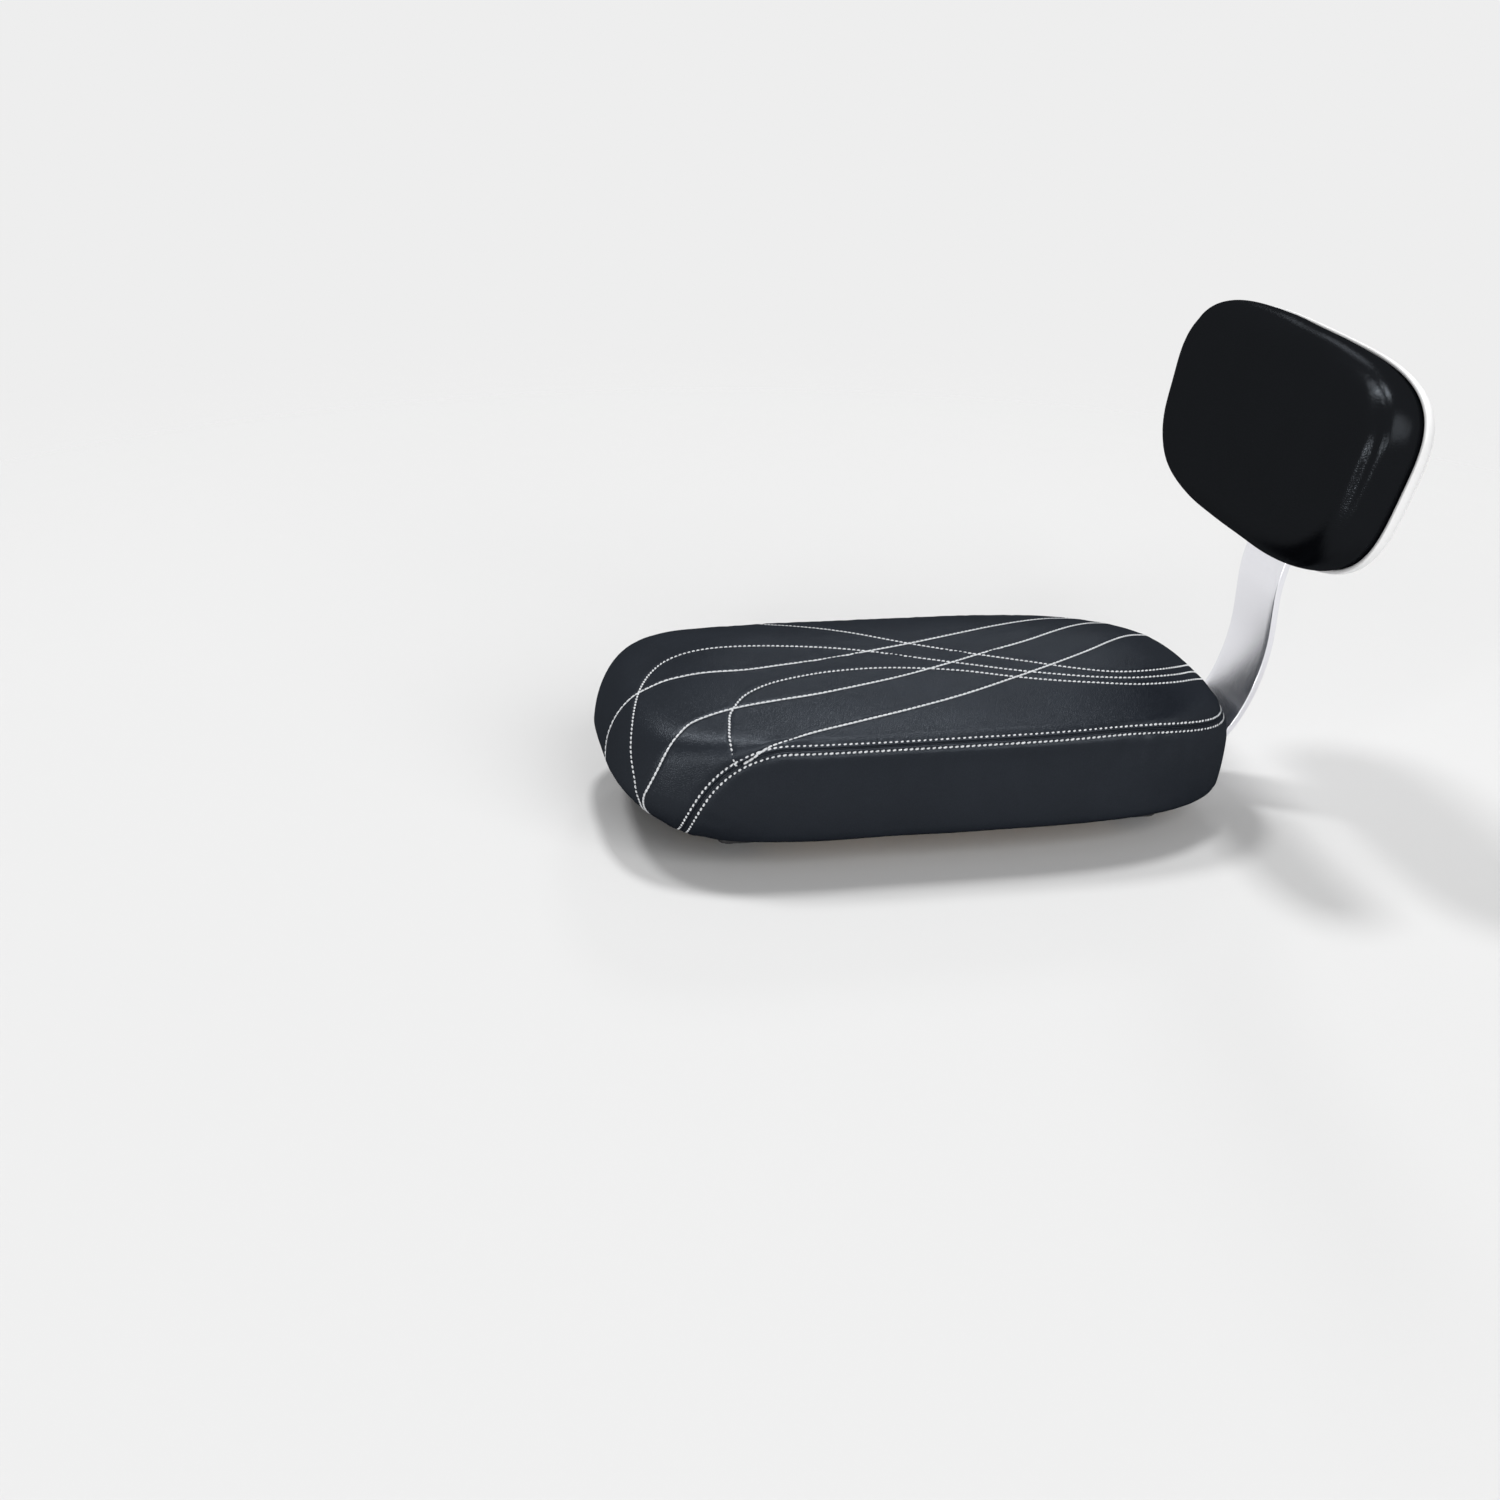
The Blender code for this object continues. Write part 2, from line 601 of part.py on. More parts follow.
def make_bracket(backrest):
    bm = bmesh.new()
    half = STRIP_WIDTH / 2
    rows = [[bm.verts.new((point.x, y, point.y)) for y in (-half, half)] for point in STRIP_POINTS]
    for lower, upper in zip(rows, rows[1:]):
        bm.faces.new((lower[0], upper[0], upper[1], lower[1]))
    corners = rows[0] + rows[-1]
    bmesh.ops.bevel(
        bm, geom=corners, offset=STRIP_END_RADIUS, segments=CORNER_STEPS, profile=0.5,
        affect="VERTICES")
    bm.normal_update()
    mesh = bpy.data.meshes.new("backrest_bracket")
    bm.to_mesh(mesh)
    bm.free()
    bracket = link_object("backrest_bracket", mesh, SATIN_CHROME)
    solidify(bracket, STRIP_THICKNESS, even=True)
    for index, x in enumerate(FOOT_SCREW_X, start=1):
        hole = cylinder_bmesh(HOLE_RADIUS, -CUTTER_MARGIN, STRIP_THICKNESS + CUTTER_MARGIN, (x, 0.0))
        boolean(bracket, as_cutter(f"foot_strip_hole_{index}", hole))
        wide = COUNTERSINK_RADIUS + FIT_GAP
        slope = (COUNTERSINK_RADIUS - SHANK_RADIUS) / COUNTERSINK_DEPTH
        sink = cylinder_bmesh(
            wide + slope * CUTTER_MARGIN, -CUTTER_MARGIN, COUNTERSINK_DEPTH, (x, 0.0),
            top_radius=HOLE_RADIUS)
        boolean(bracket, as_cutter(f"foot_strip_sink_{index}", sink))
    for index, up in enumerate(BACKREST_SCREW_UP, start=1):
        hole = cylinder_bmesh(HOLE_RADIUS, -STRIP_THICKNESS - CUTTER_MARGIN, CUTTER_MARGIN, (0.0, up))
        boolean(bracket, as_cutter(f"back_strip_hole_{index}", hole, backrest))


def make_foot_screws():
    end = NUT_TOP - SCREW_END_COVER
    profile = [
        (0.0, end), (SHANK_RADIUS, end), (SHANK_RADIUS, COUNTERSINK_DEPTH),
        (COUNTERSINK_RADIUS, 0.0), (0.0, 0.0)]
    for index, x in enumerate(FOOT_SCREW_X, start=1):
        screw = socket_screw(f"foot_screw_{index}", profile, 0.0)
        screw.location = (x, 0.0, 0.0)
        nut = tee_nut(f"foot_nut_{index}", NUT_TOP - CHANNEL_DEPTH)
        nut.location = (x, 0.0, NUT_TOP)


# Backrest, modelled in its own plane: local Y runs up the strip, local Z points forward

def backrest_frame():
    up = Vector((math.sin(RECLINE), 0.0, math.cos(RECLINE)))
    forward = Vector((-math.cos(RECLINE), 0.0, math.sin(RECLINE)))
    sideways = up.cross(forward)
    origin = Vector((LEAN_START.x, 0.0, LEAN_START.y)) + up * BACKREST_UP_STRIP
    frame = bpy.data.objects.new("backrest_frame", None)
    PARTS.objects.link(frame)
    matrix = Matrix((sideways, up, forward)).transposed().to_4x4()
    matrix.translation = origin
    frame.matrix_world = matrix
    return frame


PAD_OUTLINE = superellipse(
    PAD_WIDTH / 2, PAD_HEIGHT / 2, PAD_AROUND, lambda x: PAD_SQUARENESS, PAD_SQUARENESS)


def pad_ring(inset, level):
    """The pad's outline, wider at the top, set in by an amount."""
    half_width, half_height = PAD_WIDTH / 2, PAD_HEIGHT / 2
    ring = []
    for point in PAD_OUTLINE:
        widen = 1 + PAD_TAPER * point.y / half_height
        ring.append(Vector((
            point.x * widen * (1 - inset / half_width), point.y * (1 - inset / half_height), level)))
    return ring


def rounded_back_rings(inset, level, radius, steps=2):
    """Rings round a quarter circle from the flat back to the side wall."""
    rings = []
    for step in range(steps + 1):
        angle = math.pi / 2 * step / steps
        rings.append(pad_ring(
            inset + radius * (1 - math.sin(angle)), level + radius * (1 - math.cos(angle))))
    return rings


def pad_rings():
    """Rings of the pad cover from its tucked edge in the shell to the front's crown."""
    rings = rounded_back_rings(TUCKED_INSET, COVER_BACK, COVER_BACK_RADIUS)
    rings.append(pad_ring(TUCKED_INSET, SHELL_DEPTH))
    for share in (0.5, 1.0):
        swell = math.sin(share * math.pi / 2)
        rings.append(pad_ring(
            TUCKED_INSET * (1 - swell), SHELL_DEPTH + (PAD_FULL_START - SHELL_DEPTH) * share))
    rings.append(pad_ring(0.0, PAD_FULL_END))
    for share in (0.35, 0.7, 1.0):
        angle = share * math.pi / 2
        rings.append(pad_ring(
            PAD_FRONT_INSET * (1 - math.cos(angle)), PAD_FULL_END + PAD_FRONT_ROUND * math.sin(angle)))
    rings.append(pad_ring(PAD_CROWN_INSET, PAD_FULL_END + PAD_FRONT_ROUND + PAD_CROWN_RISE))
    return rings


def make_backrest_shell(frame):
    """Shallow dish with a rounded back edge, open to the front."""
    rings = rounded_back_rings(SHELL_INSET, SHELL_BACK, SHELL_BACK_RADIUS, steps=3)
    rings.append(pad_ring(SHELL_INSET, SHELL_DEPTH))
    bm = loft_bmesh(rings, True, False)
    shell = link_object("backrest_shell", mesh_from_bmesh("backrest_shell", bm), WHITE_PLASTIC, frame)
    solidify(shell, SHELL_WALL, even=True)
    for index, up in enumerate(BACKREST_SCREW_UP, start=1):
        boss = cylinder_bmesh(
            BOSS_RADIUS, SHELL_BACK + SHELL_WALL / 2, BACK_BOARD_LOW - FIT_GAP, (0.0, up))
        boolean(shell, as_cutter(f"shell_boss_{index}", boss, frame), "UNION")
    for index, up in enumerate(BACKREST_SCREW_UP, start=1):
        hole = cylinder_bmesh(HOLE_RADIUS, -CUTTER_MARGIN, CUTTER_MARGIN, (0.0, up))
        boolean(shell, as_cutter(f"shell_hole_{index}", hole, frame))


def make_backrest_pad(frame):
    bm = loft_bmesh([pad_ring(TUCKED_INSET + PAD_HEM_WIDTH, COVER_BACK)] + pad_rings(), False, True)
    cover = link_object("backrest_cover", mesh_from_bmesh("backrest_cover", bm), GLOSS_LEATHERETTE, frame)
    solidify(cover, COVER_THICKNESS)
    bm = loft_bmesh(pad_rings(), False, True)
    shrink_and_slice(bm, SKIN_DEPTH, BACK_BOARD_HIGH + FIT_GAP, None)
    link_object("backrest_foam", mesh_from_bmesh("backrest_foam", bm), FOAM, frame)
    edge = TUCKED_INSET + SKIN_DEPTH
    rings = rounded_back_rings(edge, BACK_BOARD_LOW, BACK_BOARD_RADIUS)
    bm = loft_bmesh(rings + [pad_ring(edge, BACK_BOARD_HIGH)], True, True)
    board = link_object("backrest_board", mesh_from_bmesh("backrest_board", bm), PLYWOOD, frame)
    for index, up in enumerate(BACKREST_SCREW_UP, start=1):
        cut_nut_seat(board, f"back_board_{index}", (0.0, up), BACK_NUT_TOP, frame)


def make_backrest_screws(frame):
    washer_low = -STRIP_THICKNESS - FIT_GAP - WASHER_THICKNESS
    head_face = washer_low - FIT_GAP
    length = BACK_NUT_TOP - SCREW_END_COVER - head_face
    dome = [(BUTTON_RADIUS * math.sin(angle), -BUTTON_HEIGHT * math.cos(angle))
            for angle in (math.pi / 2, math.pi / 3, math.pi / 4.5)]
    flat = (0.0, dome[-1][1])
    profile = [(0.0, length), (SHANK_RADIUS, length), (SHANK_RADIUS, 0.0)] + dome + [flat]
    for index, up in enumerate(BACKREST_SCREW_UP, start=1):
        screw = socket_screw(f"backrest_screw_{index}", profile, flat[1], frame)
        screw.location = (0.0, up, head_face)
        ring = washer(f"backrest_washer_{index}", frame)
        ring.location = (0.0, up, washer_low)
        nut = tee_nut(f"backrest_nut_{index}", BACK_NUT_TOP - BACK_BOARD_LOW, frame)
        nut.location = (0.0, up, BACK_NUT_TOP)


def main():
    frame = backrest_frame()
    slot = make_cover()
    make_seat_foam(slot)
    make_base_board(slot)
    make_clamps()
    make_bracket(frame)
    make_foot_screws()
    make_backrest_shell(frame)
    make_backrest_pad(frame)
    make_backrest_screws(frame)


main()
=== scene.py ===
import math

import bmesh
import bpy
import numpy as np
from mathutils import Euler, Matrix, Vector, kdtree
from mathutils.bvhtree import BVHTree


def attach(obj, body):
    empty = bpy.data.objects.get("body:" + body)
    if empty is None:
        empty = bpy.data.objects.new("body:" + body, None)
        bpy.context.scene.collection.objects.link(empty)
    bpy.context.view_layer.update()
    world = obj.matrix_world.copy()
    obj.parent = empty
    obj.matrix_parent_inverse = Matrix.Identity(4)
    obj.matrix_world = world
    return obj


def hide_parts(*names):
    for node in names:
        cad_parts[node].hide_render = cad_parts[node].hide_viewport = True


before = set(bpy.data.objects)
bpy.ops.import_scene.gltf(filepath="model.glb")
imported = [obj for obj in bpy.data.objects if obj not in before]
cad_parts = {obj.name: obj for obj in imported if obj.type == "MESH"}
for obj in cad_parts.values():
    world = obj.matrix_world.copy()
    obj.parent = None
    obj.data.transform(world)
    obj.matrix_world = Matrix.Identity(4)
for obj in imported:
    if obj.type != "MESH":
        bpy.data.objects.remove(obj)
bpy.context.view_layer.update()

MM = 0.001

# Cushion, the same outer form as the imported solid
HALF_LENGTH = 0.180
HALF_WIDTH = 0.090
EDGE_HEIGHT = 0.056
CROWN_RISE = 0.014
CROWN_RUN = 0.073
CROWN_POWER = 2.2
FRONT_SQUARENESS = 6.1
REAR_SQUARENESS = 3.7
SIDE_SQUARENESS = 3.17
BOTTOM_TUCK = 0.0020
FRONT_BOTTOM_TUCK = 0.0198
FRONT_EDGE_TUCK = 0.0164
REAR_EDGE_TUCK = 0.0152
FRONT_TUCK_SPREAD = 4.2
REAR_TUCK_SPREAD = 3.4
HEM_WIDTH = 0.020
FRONT_SOFT_X = -0.078
FRONT_SOFT_RUN = 0.058
COVER_THICKNESS = 0.0015
BOARD_TOP = 0.0123
BOARD_SIDE_GAP = 0.0018
CUSHION_AROUND = 352
CUSHION_STEP = 0.0027
CUSHION_CORE = 0.03
PROFILE_STEP = 0.001
HIDDEN_STEP = 0.009
HIDDEN_MIDDLE_GAP = 0.0015
HIDDEN_EDGE = 0.006

# Rounding of the crown's edge: rows before and after it, passes, swell in millimetres and its run in rows
SIDE_ROUNDING = (18, 22, 40, 0.8, 11.0)
FRONT_ROUNDING = (30, 40, 110, 3.4, 16.0)
SWELL_WAY = np.array([-0.7, 0.7])

# Seam of the cushion and its two stitched rows
SEAM_HEIGHT = 0.055
SEAM_TURN_RADIUS = 0.054
SEAM_TURN_X = -0.091
SEAM_TURN_HEIGHT = SEAM_HEIGHT - SEAM_TURN_RADIUS
SEAM_FRONT_X = SEAM_TURN_X - SEAM_TURN_RADIUS
SEAM_DIP_START = 0.080
SEAM_DIP = 1.85
STITCH_ROW_OFFSET = 0.0023
STITCH_PITCH = 0.0031
CURVE_STEP = 0.0008
SLOT_HALF_WIDTH = 0.0243
SLOT_HEIGHT = 0.0186
SLOT_START_X = 0.1466
SLOT_CORNER_RADIUS = 0.003

# Distances from the stitched lines, and from the seam alone, within which the cover's faces are split
WIDE_REACH = 0.0054
CLOSE_REACH = 0.0029
SEAM_REACH = 0.0025

# Kinds of stitch: pitch, length, thickness, slant in radians and dive of the ends as a share of thickness
SEAM_STITCH = (STITCH_PITCH, 0.0028, 0.00115, 0.24, 0.38)
SMOOTH_STITCH = (0.0030, 0.0034, 0.00115, 0.0, 0.06)
TWISTED_STITCH = (0.0027, 0.0027, 0.00110, 0.34, 0.36)
SEAM_SINK = 0.00028
LINE_SINK = 0.00026

# Random unevenness: wavelengths and seed of each kind
SEAM_PUCKERS = ((0.0071, 0.0093, 0.0128, 0.0179), 4)
BAND_DROPS = ((0.0105, 0.0147, 0.0213, 0.031), 11)
HEM_PLEATS = ((0.0075, 0.0112, 0.019), 21)
PADDING_WAVES = (((0.083, 0.127), 7), ((0.061, 0.097), 9))
PAD_WAVES_MM = (((71.0, 118.0), 3), ((47.0, 83.0), 5))
PAD_CREASES_MM = ((9.1, 13.7, 21.3), 15)

# Backrest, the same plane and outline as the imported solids
STRIP_WIDTH = 0.048
STRIP_THICKNESS = 0.004
STRIP_END_RADIUS = 0.012
STRIP_EDGE_RADIUS = 0.0009
STRIP_END_BELOW_PAD_TOP = 0.0185
FOOT_LENGTH = 0.115
BEND_START_X = HALF_LENGTH - 0.0331
LOWER_BEND_RADIUS = 0.0468
LOWER_BEND_ANGLE = math.radians(60.0)
UPPER_BEND_RADIUS = 0.112
STRIP_UPRIGHT_LENGTH = 0.0162
LEAN_BEND_RADIUS = 0.090
RECLINE = math.radians(13.0)
BACKREST_UP_STRIP = 0.0718
PAD_HALF_WIDTH = 0.120
PAD_HALF_HEIGHT = 0.0605
PAD_TAPER = 0.058
PAD_SQUARENESS = 3.57
SHELL_BACK = 0.0003
SHELL_WALL = 0.0025
SHELL_BACK_RADIUS = 0.007
SHELL_DEPTH = 0.0090
COVER_BACK = 0.0031
COVER_BACK_RADIUS = 0.0042
TUCKED_INSET = 0.0028
BACK_BOARD_TOP = 0.0115
PAD_FULL_START = 0.0167
PAD_FULL_END = 0.0236
PAD_FRONT_ROUND = 0.0146
PAD_FRONT_INSET = 0.0187
PAD_CROWN_RISE = 0.0018
PAD_MIDDLE = PAD_HALF_HEIGHT - 0.0012
PAD_CORE = 0.018
PAD_AROUND = 440
PAD_STEP = 0.0011
PAD_ROUND_PASSES = 60
TURNED_EDGE = 0.014
SHELL_AROUND = 240

# Creases at the pad's ends, in millimetres: where the ends start and how far they run, and along the height
PAD_END_START_MM = 92.0
PAD_END_RUN_MM = 16.0
PAD_CREASE_CENTRE_MM = 12.0
PAD_CREASE_RUN_MM = 31.0

# Staples along the hem
STAPLE_CROWN = 0.0100
STAPLE_LEG = 0.0040
STAPLE_SPACING = 0.024
STAPLE_PROUD = 0.0006
STAPLE_BEND = 0.0008
STAPLE_HEM_INSET = 0.0065
STAPLE_SLOT_GAP = 0.008
STAPLE_TURN = 0.10
STAPLE_SCATTER = 0.14
STAPLE_SCATTER_STEP = 2.3
STAPLE_SECTION = [
    (-0.00055, -0.0002), (-0.00040, -0.0003), (0.00040, -0.0003), (0.00055, -0.0002),
    (0.00055, 0.0002), (0.00040, 0.0003), (-0.00040, 0.0003), (-0.00055, 0.0002)]

# Decorative stitched lines, each through a few places on the cushion in millimetres
SMOOTH_LINES = {
    "sweep_1": [(-166, -28, 2), (-177, -22, 16), (-178, -16, 34), (-167, -15, 54), (-157, -12, 60),
        (-146, -8, 64), (-130, -10, 68), (-105, -12, 70), (-79, -7, 70), (-52, -1, 70), (-24, 8, 70),
        (6, 18, 70), (36, 30, 70), (69, 45, 68), (96, 58, 64), (122, 70, 60), (143, 79, 55)],
    "sweep_2": [(-162, -51, 1), (-165, -59, 10), (-166, -65, 21), (-163, -68, 30), (-159, -70, 40),
        (-154, -70, 51), (-148, -67, 58), (-141, -61, 61), (-132, -57, 63), (-117, -53, 65),
        (-90, -49, 67), (-66, -45, 68), (-22, -32, 70), (8, -19, 70), (39, -3, 70), (71, 13, 70),
        (95, 28, 69), (122, 48, 65), (146, 68, 57)],
    "sweep_3": [(-118, -86, 48), (-113, -87, 51), (-107, -86, 55), (-100, -85, 58), (-92, -83, 59),
        (-81, -79, 60), (-52, -72, 63), (-18, -63, 65), (10, -54, 67), (40, -41, 68), (71, -25, 70),
        (105, -4, 70), (138, 23, 66), (166, 50, 56)],
}
TWISTED_LINES = {
    "wave_1": [(-74, 88, 55), (-65, 76, 62), (-48, 58, 66), (-29, 39, 69), (-7, 21, 70), (16, 6, 70),
        (38, -7, 70), (60, -19, 70), (80, -29, 69), (102, -35, 68), (122, -34, 67), (141, -27, 65),
        (160, -10, 59), (169, 2, 55)],
    "wave_2": [(-164, -48, 1), (-167, -56, 9), (-168, -61, 18), (-169, -60, 29), (-170, -53, 40),
        (-168, -41, 51), (-165, -27, 57), (-159, -9, 60), (-150, 8, 62), (-140, 18, 65), (-123, 23, 69),
        (-103, 24, 70), (-77, 22, 70), (-48, 15, 70), (-24, 6, 70), (-1, -6, 70), (21, -17, 70),
        (44, -28, 70), (68, -36, 69), (92, -41, 68), (119, -41, 66), (143, -33, 62), (160, -19, 58),
        (169, -9, 55)],
    "wave_3": [(-120, -87, 46), (-122, -86, 49), (-123, -84, 55), (-123, -77, 59), (-121, -67, 61),
        (-119, -58, 63), (-115, -51, 65), (-109, -43, 67), (-100, -36, 69), (-89, -30, 70),
        (-72, -24, 70), (-56, -20, 70), (-30, -18, 70), (-5, -21, 70), (18, -27, 70), (41, -36, 69),
        (65, -43, 68), (90, -47, 67), (116, -48, 65), (140, -42, 62), (160, -29, 58), (168, -20, 55)],
}

# Camera, fitted to the photograph's view
CAMERA_PLACE = (-0.3211, -0.9925, 0.4787)
CAMERA_TURN_DEG = (65.531, -2.002, -11.970)
CAMERA_LENS = 47.36
CAMERA_SENSOR = 36.0

# Floor, surround and lamps
FLOOR_HEIGHT = -0.0192
FLOOR_HALF = 2.0
FLOOR_TONE = 0.68
FLOOR_FADE = (0.55, 1.20)
BACKGROUND_TONE = 0.855
DOME_TONES = ((0.0, 0.03), (0.50, 0.06), (0.75, 0.20), (1.0, 0.36))
SUNS = {  # where each shines from, its strength and its width in degrees
    "over": ((0.07, 0.25, 0.97), 1.35, 10.0),
    "key": ((-0.33, 0.38, 0.86), 1.05, 11.0),
    "left": ((-0.80, -0.56, 0.12), 0.60, 8.0),
    "front": ((-0.46, -0.86, 0.22), 0.50, 8.0),
    "back": ((0.31, 0.80, 0.51), 0.28, 10.0),
    "fill": ((0.35, -0.78, 0.52), 1.75, 50.0),
}


# Small helpers for meshes

def add_object(name, data):
    obj = bpy.data.objects.new(name, data)
    bpy.context.scene.collection.objects.link(obj)
    return obj


def add_piece(name, mesh, mat):
    """Put a finished mesh in the scene as a piece that rides on the one body."""
    for polygon in mesh.polygons:
        polygon.use_smooth = True
    mesh.materials.append(mat)
    obj = add_object(name, mesh)
    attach(obj, "root")
    return obj


def mesh_from(name, vertices, faces, outward=False):
    """A mesh from places and faces, with the faces turned outward where asked."""
    mesh = bpy.data.meshes.new(name)
    mesh.from_pydata([tuple(v) for v in vertices], [], [tuple(int(i) for i in f) for f in faces])
    mesh.update()
    if outward:
        bm = bmesh.new()
        bm.from_mesh(mesh)
        bmesh.ops.recalc_face_normals(bm, faces=bm.faces[:])
        bm.to_mesh(mesh)
        bm.free()
    return mesh


def mesh_of(bm, name):
    """A mesh from a bmesh, which is freed."""
    mesh = bpy.data.meshes.new(name)
    bm.to_mesh(mesh)
    bm.free()
    return mesh


def tube_faces(rings, sides):
    """Faces of a tube made of rings of places, closed at both ends."""
    faces = []
    for first in range(0, (rings - 1) * sides, sides):
        for side in range(sides):
            a, b = first + side, first + (side + 1) % sides
            faces.append((a, b, b + sides, a + sides))
    faces.append(tuple(reversed(range(sides))))
    faces.append(tuple((rings - 1) * sides + side for side in range(sides)))
    return faces


def run_length(points):
    """Length run from the first of a row of points to each."""
    return np.concatenate([[0.0], np.cumsum(np.linalg.norm(np.diff(points, axis=0), axis=1))])


def unit(vector):
    return vector / np.linalg.norm(vector)


def sample(at, length, table):
    """Rows of a table at places between its own, by length."""
    return np.stack([np.interp(at, length, column) for column in table.T], axis=-1)


def superellipse(half_x, half_y, power_front, power_rear, power_side, samples=6000):
    """Dense outline as shares of its length, with X and Y."""
    angle = np.linspace(0.0, 2 * math.pi, samples + 1)
    cosine, sine = np.cos(angle), np.sin(angle)
    power = np.where(cosine < 0, power_front, power_rear)
    x = np.sign(cosine) * np.abs(cosine) ** (2 / power) * half_x
    y = np.sign(sine) * np.abs(sine) ** (2 / power_side) * half_y
    length = run_length(np.stack([x, y], axis=1))
    return length / length[-1], x, y


def smooth_rows(table, first, last, passes):
    """Soften the corners of a profile between two of its rows."""
    for _ in range(passes):
        inner = table[first - 1:last - 1] * 0.25 + table[first:last] * 0.5 + table[first + 1:last + 1] * 0.25
        table[first:last] = inner
    return table


class Form:
    """A closed form swept round an outline: a place on it is a share round and a length along."""

    def __init__(self, outline, profile, ring):
        self.outline, self.profile, self.ring = outline, profile, ring
        self.along = run_length(profile[:, :2])

    def point(self, around, along):
        share, xs, ys = self.outline
        around = np.mod(around, 1.0)
        values = sample(along, self.along, self.profile).T
        return self.ring(np.interp(around, share, xs), np.interp(around, share, ys), values)

    def normal(self, around, along):
        step = 4e-4
        reach = self.along[-1] - step
        low, high = np.clip(along - step, 0, reach), np.clip(along + step, step, self.along[-1])
        across = self.point(around, high) - self.point(around, low)
        turn = self.point(around + step, along) - self.point(around - step, along)
        normal = np.cross(turn, across)
        return normal / np.maximum(np.linalg.norm(normal, axis=1), 1e-12)[:, None]


FORM_LAYERS = ("turn_cos", "turn_sin", "along")


def form_bmesh(form, levels, count):
    """Grid of a form with its own coordinates kept on the vertices, closed at both ends."""
    bm = bmesh.new()
    layers = [bm.verts.layers.float.new(name) for name in FORM_LAYERS]
    shares = np.arange(count) / count
    rows = []
    for level in levels:
        row = []
        for share, place in zip(shares, form.point(shares, np.full(count, level))):
            vert = bm.verts.new(place)
            turn = 2 * math.pi * share
            for layer, value in zip(layers, (math.cos(turn), math.sin(turn), level)):
                vert[layer] = value
            row.append(vert)
        rows.append(row)
    for lower, upper in zip(rows, rows[1:]):
        for i in range(count):
            j = (i + 1) % count
            bm.faces.new((lower[i], lower[j], upper[j], upper[i]))
    for row in (rows[0], rows[-1]):
        half = count // 2
        for i in range(1, half - 1):
            bm.faces.new((row[i], row[i + 1], row[count - i - 1], row[count - i]))
        bm.faces.new((row[0], row[1], row[count - 1]))
        bm.faces.new((row[half], row[half + 1], row[half - 1]))
    bmesh.ops.recalc_face_normals(bm, faces=bm.faces[:])
    return bm


def vertex_places(bm):
    return np.array([v.co for v in bm.verts])


def form_places(bm):
    """Share round and length along of every vertex."""
    layers = [bm.verts.layers.float[name] for name in FORM_LAYERS]
    cos, sin, along = np.array([[v[layer] for layer in layers] for v in bm.verts]).T
    return np.mod(np.arctan2(sin, cos) / (2 * math.pi), 1.0), along


def point_tree(points):
    tree = kdtree.KDTree(len(points))
    for index, place in enumerate(points):
        tree.insert(place, index)
    tree.balance()
    return tree


def refine(bm, form, near, reach, first_along, last_along):
    """Split the faces close to a set of places, and put the new vertices back on the form."""
    tree = point_tree(near)
    bm.verts.index_update()
    along = form_places(bm)[1]
    close = [first_along < at < last_along and tree.find(v.co)[2] < reach for v, at in zip(bm.verts, along)]
    edges = [e for e in bm.edges if close[e.verts[0].index] and close[e.verts[1].index]]
    bmesh.ops.subdivide_edges(bm, edges=edges, cuts=1, use_grid_fill=True)
    around, along = form_places(bm)
    for vert, at, place in zip(bm.verts, along, form.point(around, along)):
        if first_along < at < last_along:
            vert.co = place


def push_out(bm, form, move, core):
    """Move each vertex along the form's normal, away from a middle place at a height inside."""
    places = vertex_places(bm)
    normals = form.normal(*form_places(bm))
    facing = np.sign((normals * (places - np.array([0, 0, core]))).sum(1))
    normals *= np.where(facing == 0, 1.0, facing)[:, None]
    for vert, place in zip(bm.verts, places + normals * move[:, None]):
        vert.co = place


def between(t, first_knot, last_knot, first, last):
    gap = last_knot - first_knot
    return (last_knot - t) / gap * first + (t - first_knot) / gap * last


def spline(points, spacing):
    """Evenly spaced places on a smooth curve through a few points."""
    points = np.array(points, float)
    padded = np.vstack([2 * points[0] - points[1], points, 2 * points[-1] - points[-2]])
    curve = []
    for a, b, c, d in zip(padded, padded[1:], padded[2:], padded[3:]):
        knots = [0.0]
        for start, end in ((a, b), (b, c), (c, d)):
            knots.append(knots[-1] + max(np.linalg.norm(end - start), 1e-9) ** 0.5)
        t = np.linspace(knots[1], knots[2], 24, endpoint=False)[:, None]
        ab, bc, cd = (
            between(t, knots[k], knots[k + 1], *ends) for k, ends in enumerate(((a, b), (b, c), (c, d))))
        left, right = between(t, knots[0], knots[2], ab, bc), between(t, knots[1], knots[3], bc, cd)
        curve.append(between(t, knots[1], knots[2], left, right))
    return resample(np.vstack(curve + [points[-1:]]), spacing)


def resample(curve, spacing):
    length = run_length(curve)
    at = np.linspace(0.0, length[-1], max(2, int(round(length[-1] / spacing)) + 1))
    return sample(at, length, curve)


def bump(distance, centre, width):
    return np.exp(-(((distance - centre) / width) ** 2))


def ripple(place, wavelengths, seed):
    """Smooth random wave along a length, between about -1 and 1."""
    source = np.random.RandomState(seed)
    total = np.zeros_like(place)
    for wavelength in wavelengths:
        total += np.sin(2 * math.pi * (place / wavelength + source.rand()))
    return total / len(wavelengths)


# The cushion's form

CUSHION_OUTLINE = superellipse(HALF_LENGTH, HALF_WIDTH, FRONT_SQUARENESS, REAR_SQUARENESS, SIDE_SQUARENESS)


